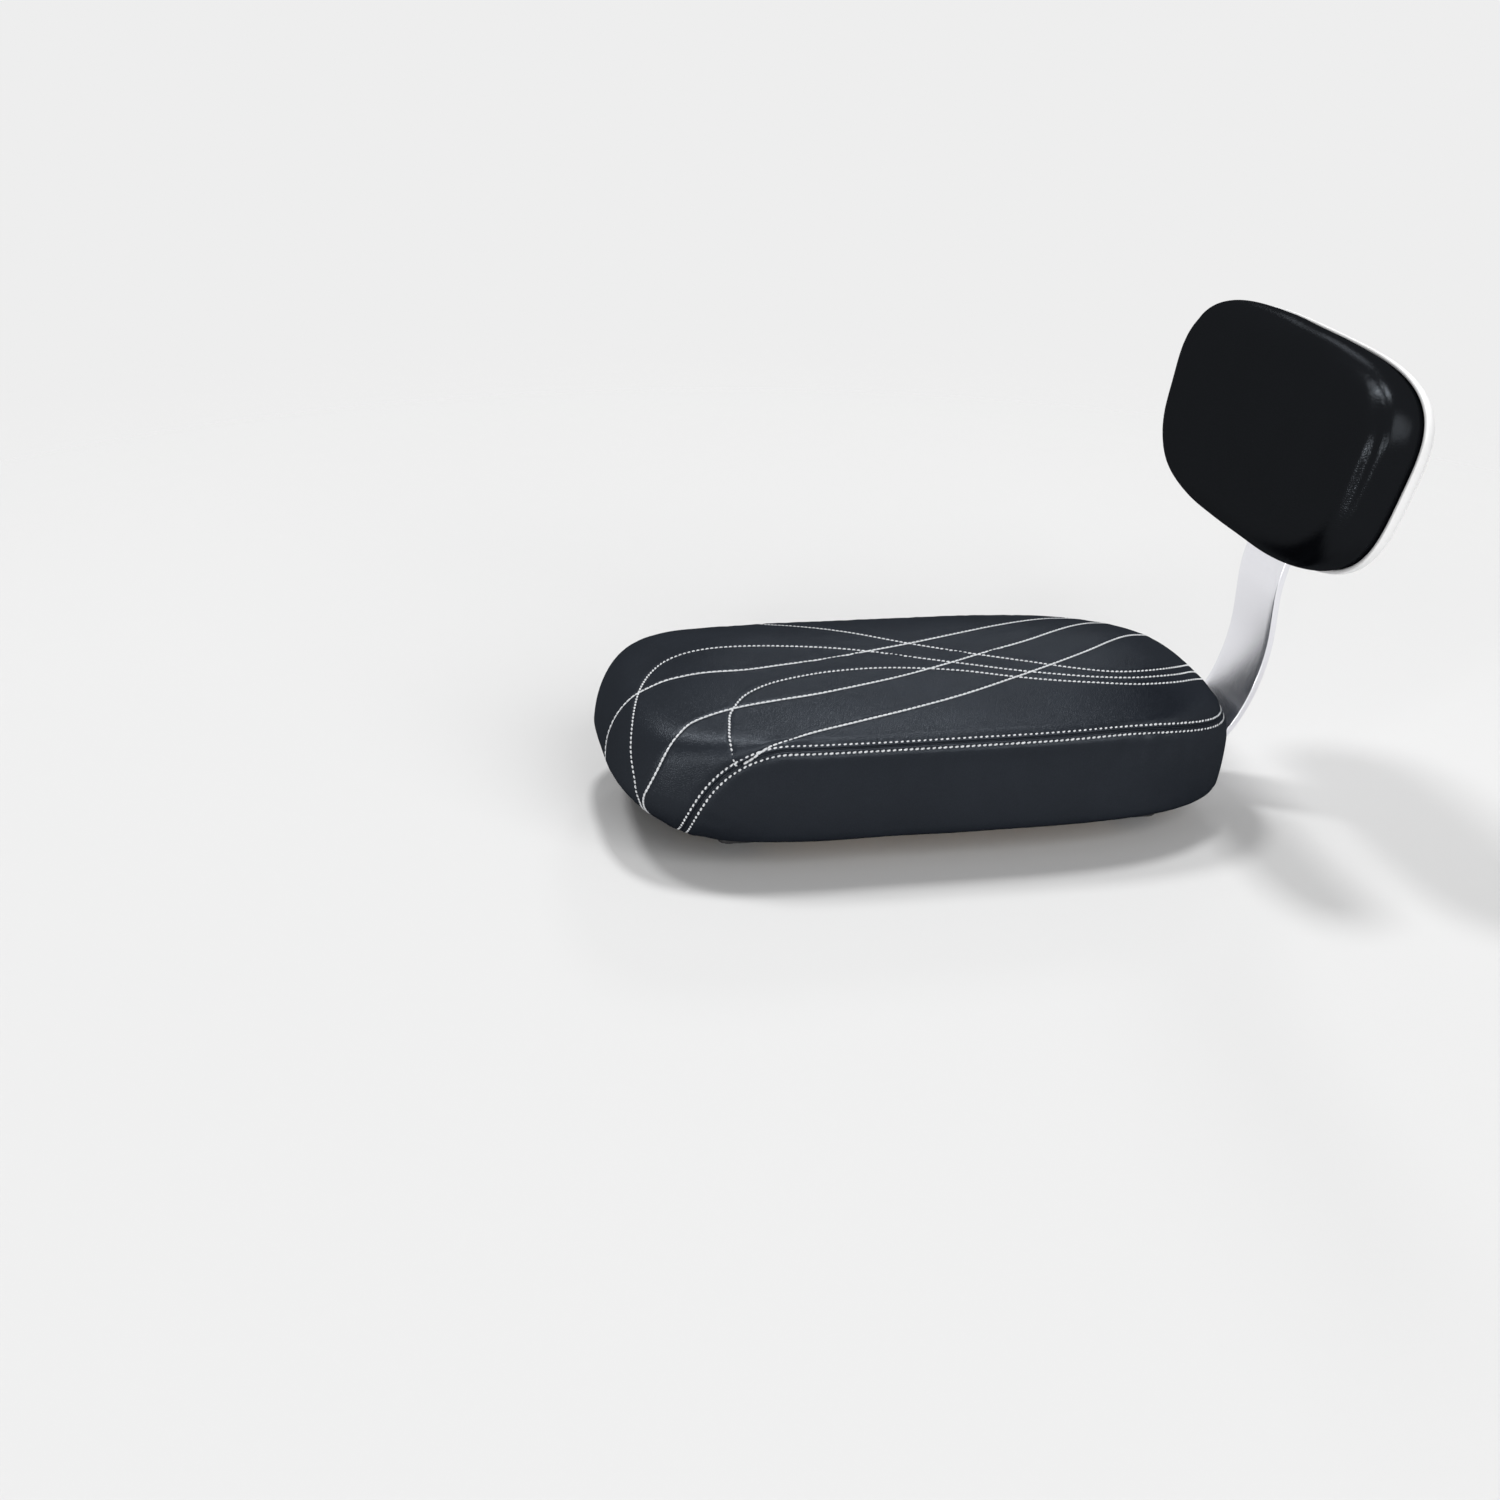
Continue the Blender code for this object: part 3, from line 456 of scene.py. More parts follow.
def cushion_ring(x, y, values):
    """Columns of the profile: side tuck, height, extra tuck at the front and the rear, softer front ones."""
    share = np.clip((FRONT_SOFT_X - x) / FRONT_SOFT_RUN, 0.0, 1.0)
    soft = share * share * (3 - 2 * share)
    side, height, front = (values[k] + (values[k + 4] - values[k]) * soft for k in range(3))
    reach = np.abs(x) / HALF_LENGTH
    tuck = side + np.where(x < 0, front * reach ** FRONT_TUCK_SPREAD, values[3] * reach ** REAR_TUCK_SPREAD)
    return np.stack([x * (1 - tuck / HALF_LENGTH), y * (1 - tuck / HALF_WIDTH), height + 0 * x], axis=1)


def round_edge(table, edge, before, after, passes, swell_mm, swell_rows):
    """Soften the crown's edge and swell it out and up, in place."""
    smooth_rows(table, edge - before, edge + after, passes)
    table[:, :2] += bump(np.arange(len(table)), edge, swell_rows)[:, None] * MM * SWELL_WAY * swell_mm


def cushion_profile():
    """From the middle over the board, round the hem and the bottom edge, up the side to the crown."""
    middle = EDGE_HEIGHT / 2

    def below(height):
        return max(0.0, (middle - height) / middle) ** 2

    rows = []
    for tuck in np.arange(HALF_WIDTH - HIDDEN_MIDDLE_GAP, HIDDEN_EDGE, -HIDDEN_STEP):
        rows.append((tuck, BOARD_TOP, FRONT_BOTTOM_TUCK * below(BOARD_TOP), 0.0))
    for height in (BOARD_TOP, 0.009, 0.005, COVER_THICKNESS + 0.0002):
        tuck = BOTTOM_TUCK * below(height) + BOARD_SIDE_GAP
        rows.append((tuck, height, FRONT_BOTTOM_TUCK * below(height), 0.0))
    for tuck in (HEM_WIDTH / 2, HEM_WIDTH):
        rows.append((BOTTOM_TUCK + tuck, COVER_THICKNESS + 0.0001, FRONT_BOTTOM_TUCK, 0.0))
    hem_start = len(rows)
    for tuck in np.arange(HEM_WIDTH, PROFILE_STEP / 2, -PROFILE_STEP):
        rows.append((BOTTOM_TUCK + tuck, 0.0, FRONT_BOTTOM_TUCK, 0.0))
    wall_start = len(rows)
    for height in np.arange(0.0, EDGE_HEIGHT, PROFILE_STEP):
        above = max(0.0, (height - middle) / middle) ** 2
        rows.append((
            BOTTOM_TUCK * below(height), height, FRONT_BOTTOM_TUCK * below(height) + FRONT_EDGE_TUCK * above,
            REAR_EDGE_TUCK * above))
    edge = len(rows)
    for tuck in np.arange(0.0, CROWN_RUN, PROFILE_STEP):
        share = tuck / CROWN_RUN
        rows.append((
            tuck, EDGE_HEIGHT + CROWN_RISE * (1 - (1 - share) ** CROWN_POWER),
            FRONT_EDGE_TUCK * (1 - share), REAR_EDGE_TUCK * (1 - share)))
    for tuck in np.arange(CROWN_RUN, HALF_WIDTH - PROFILE_STEP, 2 * PROFILE_STEP):
        rows.append((tuck, EDGE_HEIGHT + CROWN_RISE, 0.0, 0.0))
    table = np.array(rows)
    smooth_rows(table, wall_start - 4, wall_start + 5, 4)
    soft = table[:, :3].copy()
    round_edge(soft, edge, *FRONT_ROUNDING)
    round_edge(table, edge, *SIDE_ROUNDING)
    return np.hstack([table, soft]), hem_start, wall_start, edge


PROFILE, HEM_START, WALL_START, EDGE_ROW = cushion_profile()
CUSHION = Form(CUSHION_OUTLINE, PROFILE, cushion_ring)
HEM_ALONG = CUSHION.along[HEM_START]
WALL_ALONG = CUSHION.along[WALL_START]
CROWN_ALONG = CUSHION.along[-1]


def along_at_height(height):
    wall = slice(WALL_START, EDGE_ROW + 40)
    return np.interp(height, PROFILE[wall, 1], CUSHION.along[wall])


def share_at_x(x, along, side):
    """Share round the outline where the form has a given X at a level, on one side."""
    shares = np.linspace(0.0, 0.5, 2001) if side > 0 else np.linspace(1.0, 0.5, 2001)
    xs = CUSHION.point(shares, np.full(len(shares), along))[:, 0]
    return np.interp(-x, -xs, shares)


def seam_height(x):
    """Height of the seam on the sides and the rear, where it dips a little."""
    return SEAM_HEIGHT - SEAM_DIP * np.maximum(0.0, x - SEAM_DIP_START) ** 2


def seam_curve():
    """Seam from the bottom at the front, along one side, round the rear and back down."""
    def half(side):
        def place(x, height):
            along = along_at_height(height)
            return share_at_x(x, along, side), along

        rise = [place(SEAM_FRONT_X, height) for height in np.arange(0.0, SEAM_TURN_HEIGHT, 0.0005)]
        radius = SEAM_TURN_RADIUS
        turn = [
            place(SEAM_TURN_X - radius * math.cos(a), SEAM_TURN_HEIGHT + radius * math.sin(a))
            for a in np.linspace(0.0, math.pi / 2, 80)]
        return rise + turn

    near, far = half(-1), half(1)
    shares = np.linspace(near[-1][0], 1.0 + far[-1][0], 700)[1:-1]
    xs = CUSHION.point(shares, np.full(len(shares), along_at_height(SEAM_HEIGHT)))[:, 0]
    rear = np.stack([shares, along_at_height(seam_height(xs))], axis=1)
    table = np.vstack([near, rear, [(share + 1.0, along) for share, along in reversed(far)]])
    kept = np.concatenate([[True], np.abs(np.diff(table, axis=0)).sum(1) > 1e-6])
    return table[kept, 0], table[kept, 1]


def above_seam(places):
    """Signed side of the seam in side view: positive on the top panel."""
    x, z = places[:, 0], places[:, 2]
    turned = np.hypot(x - SEAM_TURN_X, z - SEAM_TURN_HEIGHT) - SEAM_TURN_RADIUS
    front = np.where(z > SEAM_TURN_HEIGHT, turned, SEAM_FRONT_X - x)
    return np.where(x > SEAM_TURN_X, z - seam_height(x), front)


def drop_on(tree, points):
    """Nearest places on a surface and its normals there, both smoothed along the run of points."""
    found = [tree.find_nearest(Vector(p)) for p in points]
    places, normals = (smooth_rows(np.array([f[k] for f in found]), 1, len(found) - 1, 6) for k in (0, 1))
    return places, normals / np.linalg.norm(normals, axis=1)[:, None]


# Materials, all procedural

def feed(tree, value, socket):
    """Another node's output is linked to the input, a plain value is set on it."""
    if isinstance(value, bpy.types.NodeSocket):
        tree.links.new(value, socket)
    else:
        socket.default_value = value


def node(tree, kind, **values):
    """A new node, with each value set as its property or else fed to the input of that name."""
    made = tree.nodes.new("ShaderNode" + kind)
    for key, value in values.items():
        if hasattr(made, key):
            setattr(made, key, value)
        else:
            feed(tree, value, made.inputs[key.replace("_", " ")])
    return made


def new_material(name, roughness, metallic=0.0, specular=0.5):
    mat = bpy.data.materials.new(name)
    mat.use_nodes = True
    tree = mat.node_tree
    shader = tree.nodes["Principled BSDF"]
    shader.inputs["Roughness"].default_value = roughness
    shader.inputs["Metallic"].default_value = metallic
    shader.inputs["Specular IOR Level"].default_value = specular
    return mat, tree, shader, node(tree, "TexCoord").outputs["Object"]


def noise(tree, coords, scale, detail=3.0, roughness=0.5):
    made = node(tree, "TexNoise", Vector=coords, Scale=scale, Detail=detail, Roughness=roughness)
    return made.outputs["Fac"]


def streaks(tree, coords, scales, detail=2.0, roughness=0.5):
    """Noise drawn out by its own scale along each axis."""
    drawn = node(tree, "Mapping", Vector=coords, Scale=scales).outputs["Vector"]
    return noise(tree, drawn, 1.0, detail, roughness)


def wave(tree, coords, way, scale, distortion):
    made = node(
        tree, "TexWave", bands_direction=way, Vector=coords, Scale=scale, Distortion=distortion, Detail=1.0)
    return made.outputs["Fac"]


def grey(value):
    return (value, value, value)


def ramp(tree, value, stops):
    made = node(tree, "ValToRGB", Fac=value)
    elements = made.color_ramp.elements
    while len(elements) < len(stops):
        elements.new(0.5)
    for element, (position, colour) in zip(elements, stops):
        element.position = position
        element.color = (*colour, 1.0)
    return made.outputs["Color"]


def scaled(tree, value, low, high):
    return node(tree, "MapRange", Value=value, To_Min=low, To_Max=high).outputs["Result"]


def math_node(tree, operation, first, second):
    made = node(tree, "Math", operation=operation)
    feed(tree, first, made.inputs[0])
    feed(tree, second, made.inputs[1])
    return made.outputs["Value"]


def blend(tree, first, second, share):
    """Two values mixed, with this share of the first."""
    rest = math_node(tree, "MULTIPLY", second, 1.0 - share)
    return math_node(tree, "ADD", math_node(tree, "MULTIPLY", first, share), rest)


def paint(tree, shader, value, stops, roughness=None):
    """Colour, and roughness where asked, that follow a value."""
    tree.links.new(ramp(tree, value, stops), shader.inputs["Base Color"])
    if roughness:
        tree.links.new(scaled(tree, value, *roughness), shader.inputs["Roughness"])


def bump_into(tree, shader, height, distance):
    normal = node(tree, "Bump", Strength=1.0, Distance=distance, Height=height).outputs["Normal"]
    tree.links.new(normal, shader.inputs["Normal"])
    return normal


def mixed_surface(tree, share, first, second):
    """Two shaders mixed as the material's surface."""
    mix = node(tree, "MixShader", Fac=share)
    tree.links.new(first.outputs["BSDF"], mix.inputs[1])
    tree.links.new(second.outputs["BSDF"], mix.inputs[2])
    tree.links.new(mix.outputs["Shader"], tree.nodes["Material Output"].inputs["Surface"])


def leatherette(name, dark, light, roughness, film_share, pebble, depth):
    """Coated fabric with an embossed grain of small pebbles and fine creases, under a thin bluish film; its
    colour varies at random in broad patches and is painted darker in the grain's valleys, as painted shade.
    """
    mat, tree, shader, coords = new_material(name, roughness[0], specular=0.0)
    wobble = node(tree, "TexNoise", Vector=coords, Scale=pebble * 0.6, Detail=2.0).outputs["Color"]
    shift = node(tree, "Mix", data_type="VECTOR", Factor=0.0009, A=coords, B=wobble).outputs["Result"]
    cells = node(
        tree, "TexVoronoi", feature="DISTANCE_TO_EDGE", Vector=shift, Scale=pebble, Randomness=0.9)
    # valley is low at the grain's cell edges: it shapes the bump and also paints shade into the colour there
    valley = ramp(tree, cells.outputs["Distance"], [(0.0, grey(0.0)), (0.22, grey(1.0))])
    fine = noise(tree, coords, pebble * 2.6, 2.0)
    broad = noise(tree, coords, 26.0, 4.0, 0.6)
    height = math_node(tree, "ADD", valley, math_node(tree, "MULTIPLY", fine, 0.5))
    normal = bump_into(tree, shader, height, depth)
    # Colour: broad random patches, plus painted shade that darkens the grain's valleys
    paint(tree, shader, blend(tree, broad, valley, 0.75), [(0.30, dark), (0.78, light)])
    rough = scaled(tree, blend(tree, broad, fine, 0.7), *roughness)
    tree.links.new(rough, shader.inputs["Roughness"])
    film = node(tree, "BsdfGlossy", Color=(0.82, 0.90, 1.0, 1.0), Roughness=rough, Normal=normal)
    mixed_surface(tree, film_share, shader, film)
    return mat


def thread_material():
    """Twisted thread: fine slanted strands, slightly fuzzy."""
    mat, tree, shader, coords = new_material("pale_thread", 0.6, specular=0.3)
    strand = wave(tree, coords, "DIAGONAL", 900.0, 1.5)
    patches = noise(tree, coords, 160.0)
    mixed = blend(tree, strand, patches, 0.4)
    paint(tree, shader, mixed, [(0.2, (0.68, 0.70, 0.73)), (0.75, (0.92, 0.94, 0.96))])
    bump_into(tree, shader, strand, 0.0002)
    shader.inputs["Sheen Weight"].default_value = 0.15
    return mat


def white_plastic():
    """Moulded plastic with a faint texture and slightly uneven white in patches."""
    mat, tree, shader, coords = new_material("white_moulded_plastic", 0.3, specular=0.45)
    patches = noise(tree, coords, 14.0)
    paint(tree, shader, patches, [(0.3, grey(0.86)), (0.7, (0.91, 0.91, 0.915))], (0.24, 0.38))
    bump_into(tree, shader, noise(tree, coords, 2600.0, 2.0), 0.00003)
    return mat


def satin_chrome():
    """Plated steel strip: bright metal with fine lengthwise streaks and slight cloudiness."""
    mat, tree, shader, coords = new_material("satin_chrome", 0.25, metallic=1.0)
    cloud = blend(tree, streaks(tree, coords, (10.0, 420.0, 10.0)), noise(tree, coords, 22.0), 0.55)
    paint(tree, shader, cloud, [(0.3, (0.84, 0.84, 0.88)), (0.7, (0.89, 0.89, 0.93))], (0.22, 0.30))
    bump_into(tree, shader, streaks(tree, coords, (60.0, 3600.0, 60.0)), 0.0000012)
    return mat


def plywood():
    """Rotary-cut birch face with long grain, and plies that show on the edges."""
    mat, tree, shader, coords = new_material("birch_plywood", 0.62, specular=0.3)
    grain = streaks(tree, coords, (9.0, 130.0, 30.0), 5.0, 0.65)
    pores = streaks(tree, coords, (60.0, 1500.0, 400.0))
    paint(tree, shader, blend(tree, grain, wave(tree, coords, "Z", 160.0, 0.4), 0.75),
          [(0.25, (0.36, 0.23, 0.12)), (0.5, (0.52, 0.37, 0.21)), (0.8, (0.64, 0.49, 0.31))])
    bump_into(tree, shader, math_node(tree, "ADD", grain, math_node(tree, "MULTIPLY", pores, 0.5)), 0.0001)
    return mat


def black_steel():
    """Powder coat: satin black with a fine orange peel and slightly paler rubs."""
    mat, tree, shader, coords = new_material("black_powder_coat", 0.42, specular=0.4)
    rubs = noise(tree, coords, 60.0, 5.0, 0.7)
    paint(tree, shader, rubs, [(0.35, (0.018, 0.018, 0.020)), (0.8, (0.045, 0.045, 0.047))], (0.34, 0.52))
    bump_into(tree, shader, noise(tree, coords, 1100.0, 2.0), 0.00006)
    return mat


def zinc():
    """Zinc plating: bright metal with cloudy passivation and fine scratches."""
    mat, tree, shader, coords = new_material("zinc_plating", 0.34, metallic=1.0)
    cloud = noise(tree, coords, 190.0, 4.0, 0.6)
    paint(tree, shader, cloud, [(0.3, (0.52, 0.52, 0.50)), (0.7, (0.70, 0.70, 0.68))], (0.26, 0.42))
    bump_into(tree, shader, streaks(tree, coords, (300.0, 4200.0, 300.0)), 0.00003)
    return mat


def floor_material():
    """Pale paper floor that fades into the surround and only shows from above."""
    mat, tree, shader, coords = new_material("pale_floor", 0.9, specular=0.0)
    mottle = noise(tree, coords, 1.5, 2.0)
    paint(tree, shader, mottle, [(0.0, grey(FLOOR_TONE)), (1.0, grey(FLOOR_TONE + 0.01))])
    length = node(tree, "VectorMath", operation="LENGTH", Vector=coords).outputs["Value"]
    fade = node(
        tree, "MapRange", interpolation_type="SMOOTHSTEP", Value=length, From_Min=FLOOR_FADE[0],
        From_Max=FLOOR_FADE[1]).outputs["Result"]
    below = node(tree, "NewGeometry").outputs["Backfacing"]
    mixed_surface(tree, math_node(tree, "MAXIMUM", below, fade), shader, node(tree, "BsdfTransparent"))
    return mat


LEATHER = leatherette(
    "black_leatherette", (0.0046, 0.0060, 0.0092), (0.0080, 0.0102, 0.0148),
    roughness=(0.26, 0.38), film_share=0.022, pebble=900.0, depth=0.00005)
GLOSS = leatherette(
    "gloss_black_leatherette", (0.0012, 0.0013, 0.0018), (0.0020, 0.0022, 0.0030),
    roughness=(0.18, 0.24), film_share=0.012, pebble=760.0, depth=0.00003)
THREAD = thread_material()
PLYWOOD = plywood()
CHROME = satin_chrome()
BLACK_STEEL = black_steel()
SHELL_MATERIAL = white_plastic()
ZINC = zinc()
NODE_MATERIALS = {
    "seat_base_board": PLYWOOD, "backrest_board": PLYWOOD,
    "front_clamp_plate": BLACK_STEEL, "rear_clamp_plate": BLACK_STEEL}


# The cushion's cover with its seam, stitched lines and wrinkles

def seam_relief(distance, length):
    """Height across the seam: a sewn groove, two stitched dips and the puffed leather beside them."""
    d = np.abs(distance) / MM
    pull = 1.0 + 0.30 * np.cos(2 * math.pi * length / STITCH_PITCH)
    pucker = ripple(length, *SEAM_PUCKERS)
    relief = -1.15 * bump(d, 0.0, 0.62) + 0.18 * bump(d, 1.4, 0.45) - 0.45 * pull * bump(d, 2.4, 0.75)
    relief = relief + 0.50 * bump(d, 5.6, 2.6) + 0.20 * pucker * bump(d, 4.8, 2.4)
    return relief * MM


def line_relief(distance):
    d = distance / MM
    return (-0.40 * bump(d, 0.0, 0.9) + 0.14 * bump(d, 2.6, 1.3)) * MM


def soft_relief(places):
    """Slow unevenness of the padding under the cover."""
    x, y = places[:, 0], places[:, 1]
    return 0.35 * MM * ripple(x + 0.4 * y, *PADDING_WAVES[0]) * ripple(y - 0.3 * x, *PADDING_WAVES[1])


def nearest_on(curve, points):
    """Distance from each point to a curve and the index of the curve's place where it is met."""
    tree = point_tree(curve)
    found = [tree.find(p) for p in points]
    return np.array([f[2] for f in found]), np.array([f[1] for f in found])


def cushion_relief(places, around, along, seam_points, line_points):
    """How far each place of the cover stands out: seam, stitched lines, drawn leather, padding and hem."""
    distance, nearest = nearest_on(seam_points, places)
    run = run_length(seam_points)[nearest]
    relief = seam_relief(distance, run) + line_relief(nearest_on(line_points, places)[0])
    drawn = 0.50 * MM * ripple(run, *BAND_DROPS) * bump(distance / MM, 12.0, 9.0)
    relief += np.where(above_seam(places) > 0, 0.0, drawn)
    relief += soft_relief(places)
    pleats = 0.25 * MM * ripple(around * 0.95, *HEM_PLEATS) * bump((WALL_ALONG - along) / MM, 9.0, 7.0)
    hem = (along > HEM_ALONG) & (along < WALL_ALONG)
    return np.where(along > WALL_ALONG - 0.002, relief, 0.0) + np.where(hem, pleats, 0.0)


def build_cushion():
    seam_points = CUSHION.point(*seam_curve())
    shown = np.linspace(HEM_ALONG, CROWN_ALONG, int((CROWN_ALONG - HEM_ALONG) / CUSHION_STEP))
    bm = form_bmesh(CUSHION, list(CUSHION.along[:HEM_START]) + list(shown), CUSHION_AROUND)
    plain = BVHTree.FromBMesh(bm)
    lines = {
        name: resample(drop_on(plain, spline(np.array(places) * MM, CURVE_STEP))[0], CURVE_STEP)
        for name, places in (SMOOTH_LINES | TWISTED_LINES).items()}
    line_points = np.vstack(list(lines.values()))
    near = np.vstack([seam_points, line_points])
    for curves, reach in ((near, WIDE_REACH), (near, CLOSE_REACH), (seam_points, SEAM_REACH)):
        refine(bm, CUSHION, curves, reach, WALL_ALONG - 0.004, CROWN_ALONG - 0.0005)
    relief = cushion_relief(vertex_places(bm), *form_places(bm), seam_points, line_points)
    push_out(bm, CUSHION, relief, CUSHION_CORE)
    cover = add_piece("cushion_cover", mesh_of(bm, "cushion_cover"), LEATHER)
    cut_slot(cover)
    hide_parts("seat_top_panel", "seat_side_band", "seat_foam")
    return plain, seam_points, lines


def cut_slot(cover):
    """Opening at the rear where the bracket rises out of the board."""
    bm = bmesh.new()
    bmesh.ops.create_cube(bm, size=1.0)
    low = Vector((SLOT_START_X, -SLOT_HALF_WIDTH, -0.01))
    high = Vector((HALF_LENGTH + 0.02, SLOT_HALF_WIDTH, SLOT_HEIGHT))
    bmesh.ops.scale(bm, vec=high - low, verts=bm.verts)
    bmesh.ops.translate(bm, vec=(low + high) / 2, verts=bm.verts)
    lengthwise = [e for e in bm.edges if abs((e.verts[0].co - e.verts[1].co).x) > 0.01]
    upper = [e for e in lengthwise if e.verts[0].co.z > 0.01]
    bmesh.ops.bevel(bm, geom=upper, offset=SLOT_CORNER_RADIUS, segments=4, profile=0.5, affect="EDGES")
    knife = add_object("slot_knife", mesh_of(bm, "slot_knife"))
    modifier = cover.modifiers.new("slot", "BOOLEAN")
    modifier.operation = "DIFFERENCE"
    modifier.object = knife
    modifier.solver = "EXACT"
    evaluated = cover.evaluated_get(bpy.context.evaluated_depsgraph_get())
    old, cover.data = cover.data, bpy.data.meshes.new_from_object(evaluated)
    cover.modifiers.clear()
    bpy.data.meshes.remove(old)
    bpy.data.objects.remove(knife, do_unlink=True)


# Stitches

def stitch_template(dive, sides=6, rings=5):
    """One stitch along X, one unit long and one unit thick, with ends that dive down."""
    vertices = []
    for ring in range(rings):
        t = -1 + 2 * ring / (rings - 1)
        swell = math.sqrt(max(0.0, 1 - abs(t) ** (2.2 / max(dive, 0.3)))) * 0.5 + 0.10
        for side in range(sides):
            angle = 2 * math.pi * side / sides
            vertices.append((t * 0.5, math.cos(angle) * swell, math.sin(angle) * swell * 0.9 - dive * t * t))
    return np.array(vertices), tube_faces(rings, sides)


def lay_stitches(name, runs, pitch, length, thickness, slant, dive):
    """Stitches laid end to end along runs of places, each run with its surface normals."""
    template, template_faces = stitch_template(dive)
    vertices, faces = [], []
    source = np.random.RandomState(len(name))
    for places, normals in runs:
        at = run_length(places)
        count = int(at[-1] / pitch)
        for index in range(count):
            middle = (index + 0.5) * pitch + at[-1] * 0.5 - count * pitch * 0.5
            back, here, ahead = sample(middle + np.array([-0.5, 0.0, 0.5]) * pitch, at, places)
            up = unit(sample(middle, at, normals))
            forward = ahead - back
            forward = unit(forward - up * forward.dot(up))
            side = np.cross(up, forward)
            lean = slant + 0.03 * source.randn()
            along = forward * math.cos(lean) + side * math.sin(lean)
            beside = np.cross(up, along)
            size = length * (1 + 0.03 * source.randn())
            start = len(vertices) * len(template)
            vertices.append(
                here + np.outer(template[:, 0] * size, along)
                + np.outer(template[:, 1] * thickness, beside) + np.outer(template[:, 2] * thickness, up))
            faces.extend(tuple(start + corner for corner in face) for face in template_faces)
    add_piece(name, mesh_from(name, np.vstack(vertices), faces), THREAD)


def laid_run(tree, places, sink):
    """Places and normals of a run of stitches, sunk into the groove under it."""
    places, normals = drop_on(tree, places)
    return places + normals * (soft_relief(places) - sink)[:, None], normals


def build_stitches(tree, seam, lines):
    middle, normals = drop_on(tree, resample(seam, CURVE_STEP))
    tangent = np.gradient(middle, axis=0)
    tangent /= np.linalg.norm(tangent, axis=1)[:, None]
    across = np.cross(normals, tangent) * STITCH_ROW_OFFSET
    rows = [laid_run(tree, resample(middle + across * side, CURVE_STEP), SEAM_SINK) for side in (-1, 1)]
    lay_stitches("seam_topstitch", rows, *SEAM_STITCH)
    smooth, twisted = (
        [laid_run(tree, lines[name], LINE_SINK) for name in group] for group in (SMOOTH_LINES, TWISTED_LINES))
    lay_stitches("sweeping_stitches", smooth, *SMOOTH_STITCH)
    lay_stitches("waving_stitches", twisted, *TWISTED_STITCH)


# Staples that hold the turned hem under the board

def staple_path():
    """Middle line of a staple across and up: a leg, a bend, the crown, a bend and a leg."""
    path = []
    for side in (-1, 1):
        centre = side * (STAPLE_CROWN / 2 - STAPLE_BEND)
        angles = np.radians([180, 210, 240, 270] if side < 0 else [270, 300, 330, 360])
        curve = [(centre + STAPLE_BEND * math.cos(a), STAPLE_BEND * (1 + math.sin(a))) for a in angles]
        leg = (side * STAPLE_CROWN / 2, STAPLE_LEG)
        path += [leg] + curve if side < 0 else curve + [leg]
    return path


def build_staples():
    """Flattened wire staples along the hem, each slightly turned, with none where the strip passes."""
    path = staple_path()
    around = np.linspace(0.0, 1.0, 401)
    run = resample(CUSHION.point(around, np.full(len(around), HEM_ALONG + STAPLE_HEM_INSET)), STAPLE_SPACING)
    shell = tube_faces(len(path), len(STAPLE_SECTION))
    vertices, faces = [], []
    for k in range(len(run) - 1):
        x, y = run[k, :2]
        if x > 0 and abs(y) < SLOT_HALF_WIDTH + STAPLE_SLOT_GAP:
            continue
        ahead = run[k + 1] - run[k]
        scatter = STAPLE_SCATTER * math.sin(STAPLE_SCATTER_STEP * k)
        turn = math.atan2(ahead[1], ahead[0]) + scatter + STAPLE_TURN
        cos, sin = math.cos(turn), math.sin(turn)
        base = len(vertices)
        for i, (u, w) in enumerate(path):
            before, after = path[max(0, i - 1)], path[min(len(path) - 1, i + 1)]
            tangent = unit(np.subtract(after, before))
            for across, deep in STAPLE_SECTION:
                local, height = u + tangent[1] * deep, w - STAPLE_PROUD - tangent[0] * deep
                vertices.append((x + cos * local - sin * across, y + sin * local + cos * across, height))
        faces += [tuple(base + corner for corner in face) for face in shell]
    add_piece("hem_staples", mesh_from("hem_staples", vertices, faces, outward=True), ZINC)


# The backrest

def backrest_matrix():
    """Local Y runs up the strip, local Z points forward, from the strip's front face."""
    cos, sin = math.cos(LOWER_BEND_ANGLE), math.sin(LOWER_BEND_ANGLE)
    rise = LOWER_BEND_RADIUS * (1 - cos) + UPPER_BEND_RADIUS * cos
    run = LOWER_BEND_RADIUS * sin + UPPER_BEND_RADIUS * (1 - sin)
    x = BEND_START_X + run + LEAN_BEND_RADIUS * (1 - math.cos(RECLINE))
    z = STRIP_THICKNESS + rise + STRIP_UPRIGHT_LENGTH + LEAN_BEND_RADIUS * math.sin(RECLINE)
    up = Vector((math.sin(RECLINE), 0.0, math.cos(RECLINE)))
    forward = Vector((-math.cos(RECLINE), 0.0, math.sin(RECLINE)))
    matrix = Matrix((up.cross(forward), up, forward)).transposed().to_4x4()
    matrix.translation = Vector((x, 0.0, z)) + up * BACKREST_UP_STRIP
    return matrix


BACKREST = backrest_matrix()
PAD_OUTLINE = superellipse(PAD_HALF_WIDTH, PAD_HALF_HEIGHT, PAD_SQUARENESS, PAD_SQUARENESS, PAD_SQUARENESS)


def pad_ring(x, y, values):
    """Columns of the profile: inset and level above the strip's face."""
    inset, level = values
    widen = 1 + PAD_TAPER * y / PAD_HALF_HEIGHT
    return np.stack(
        [x * widen * (1 - inset / PAD_HALF_WIDTH), y * (1 - inset / PAD_HALF_HEIGHT), level + 0 * x], axis=1)


def quarter(inset, level, radius, steps=8):
    """Rounded edge from a flat back to the side wall."""
    return [
        (inset + radius * (1 - math.sin(a)), level + radius * (1 - math.cos(a)))
        for a in np.linspace(0, math.pi / 2, steps)]


def dense(rows, step):
    """Extra rows between those of a profile, no further apart than a step."""
    full = [rows[0]]
    for start, end in zip(rows, rows[1:]):
        parts = max(1, int(math.ceil(math.dist(start, end) / step)))
        full += [tuple(s + (e - s) * k / parts for s, e in zip(start, end)) for k in range(1, parts + 1)]
    return np.array(full)


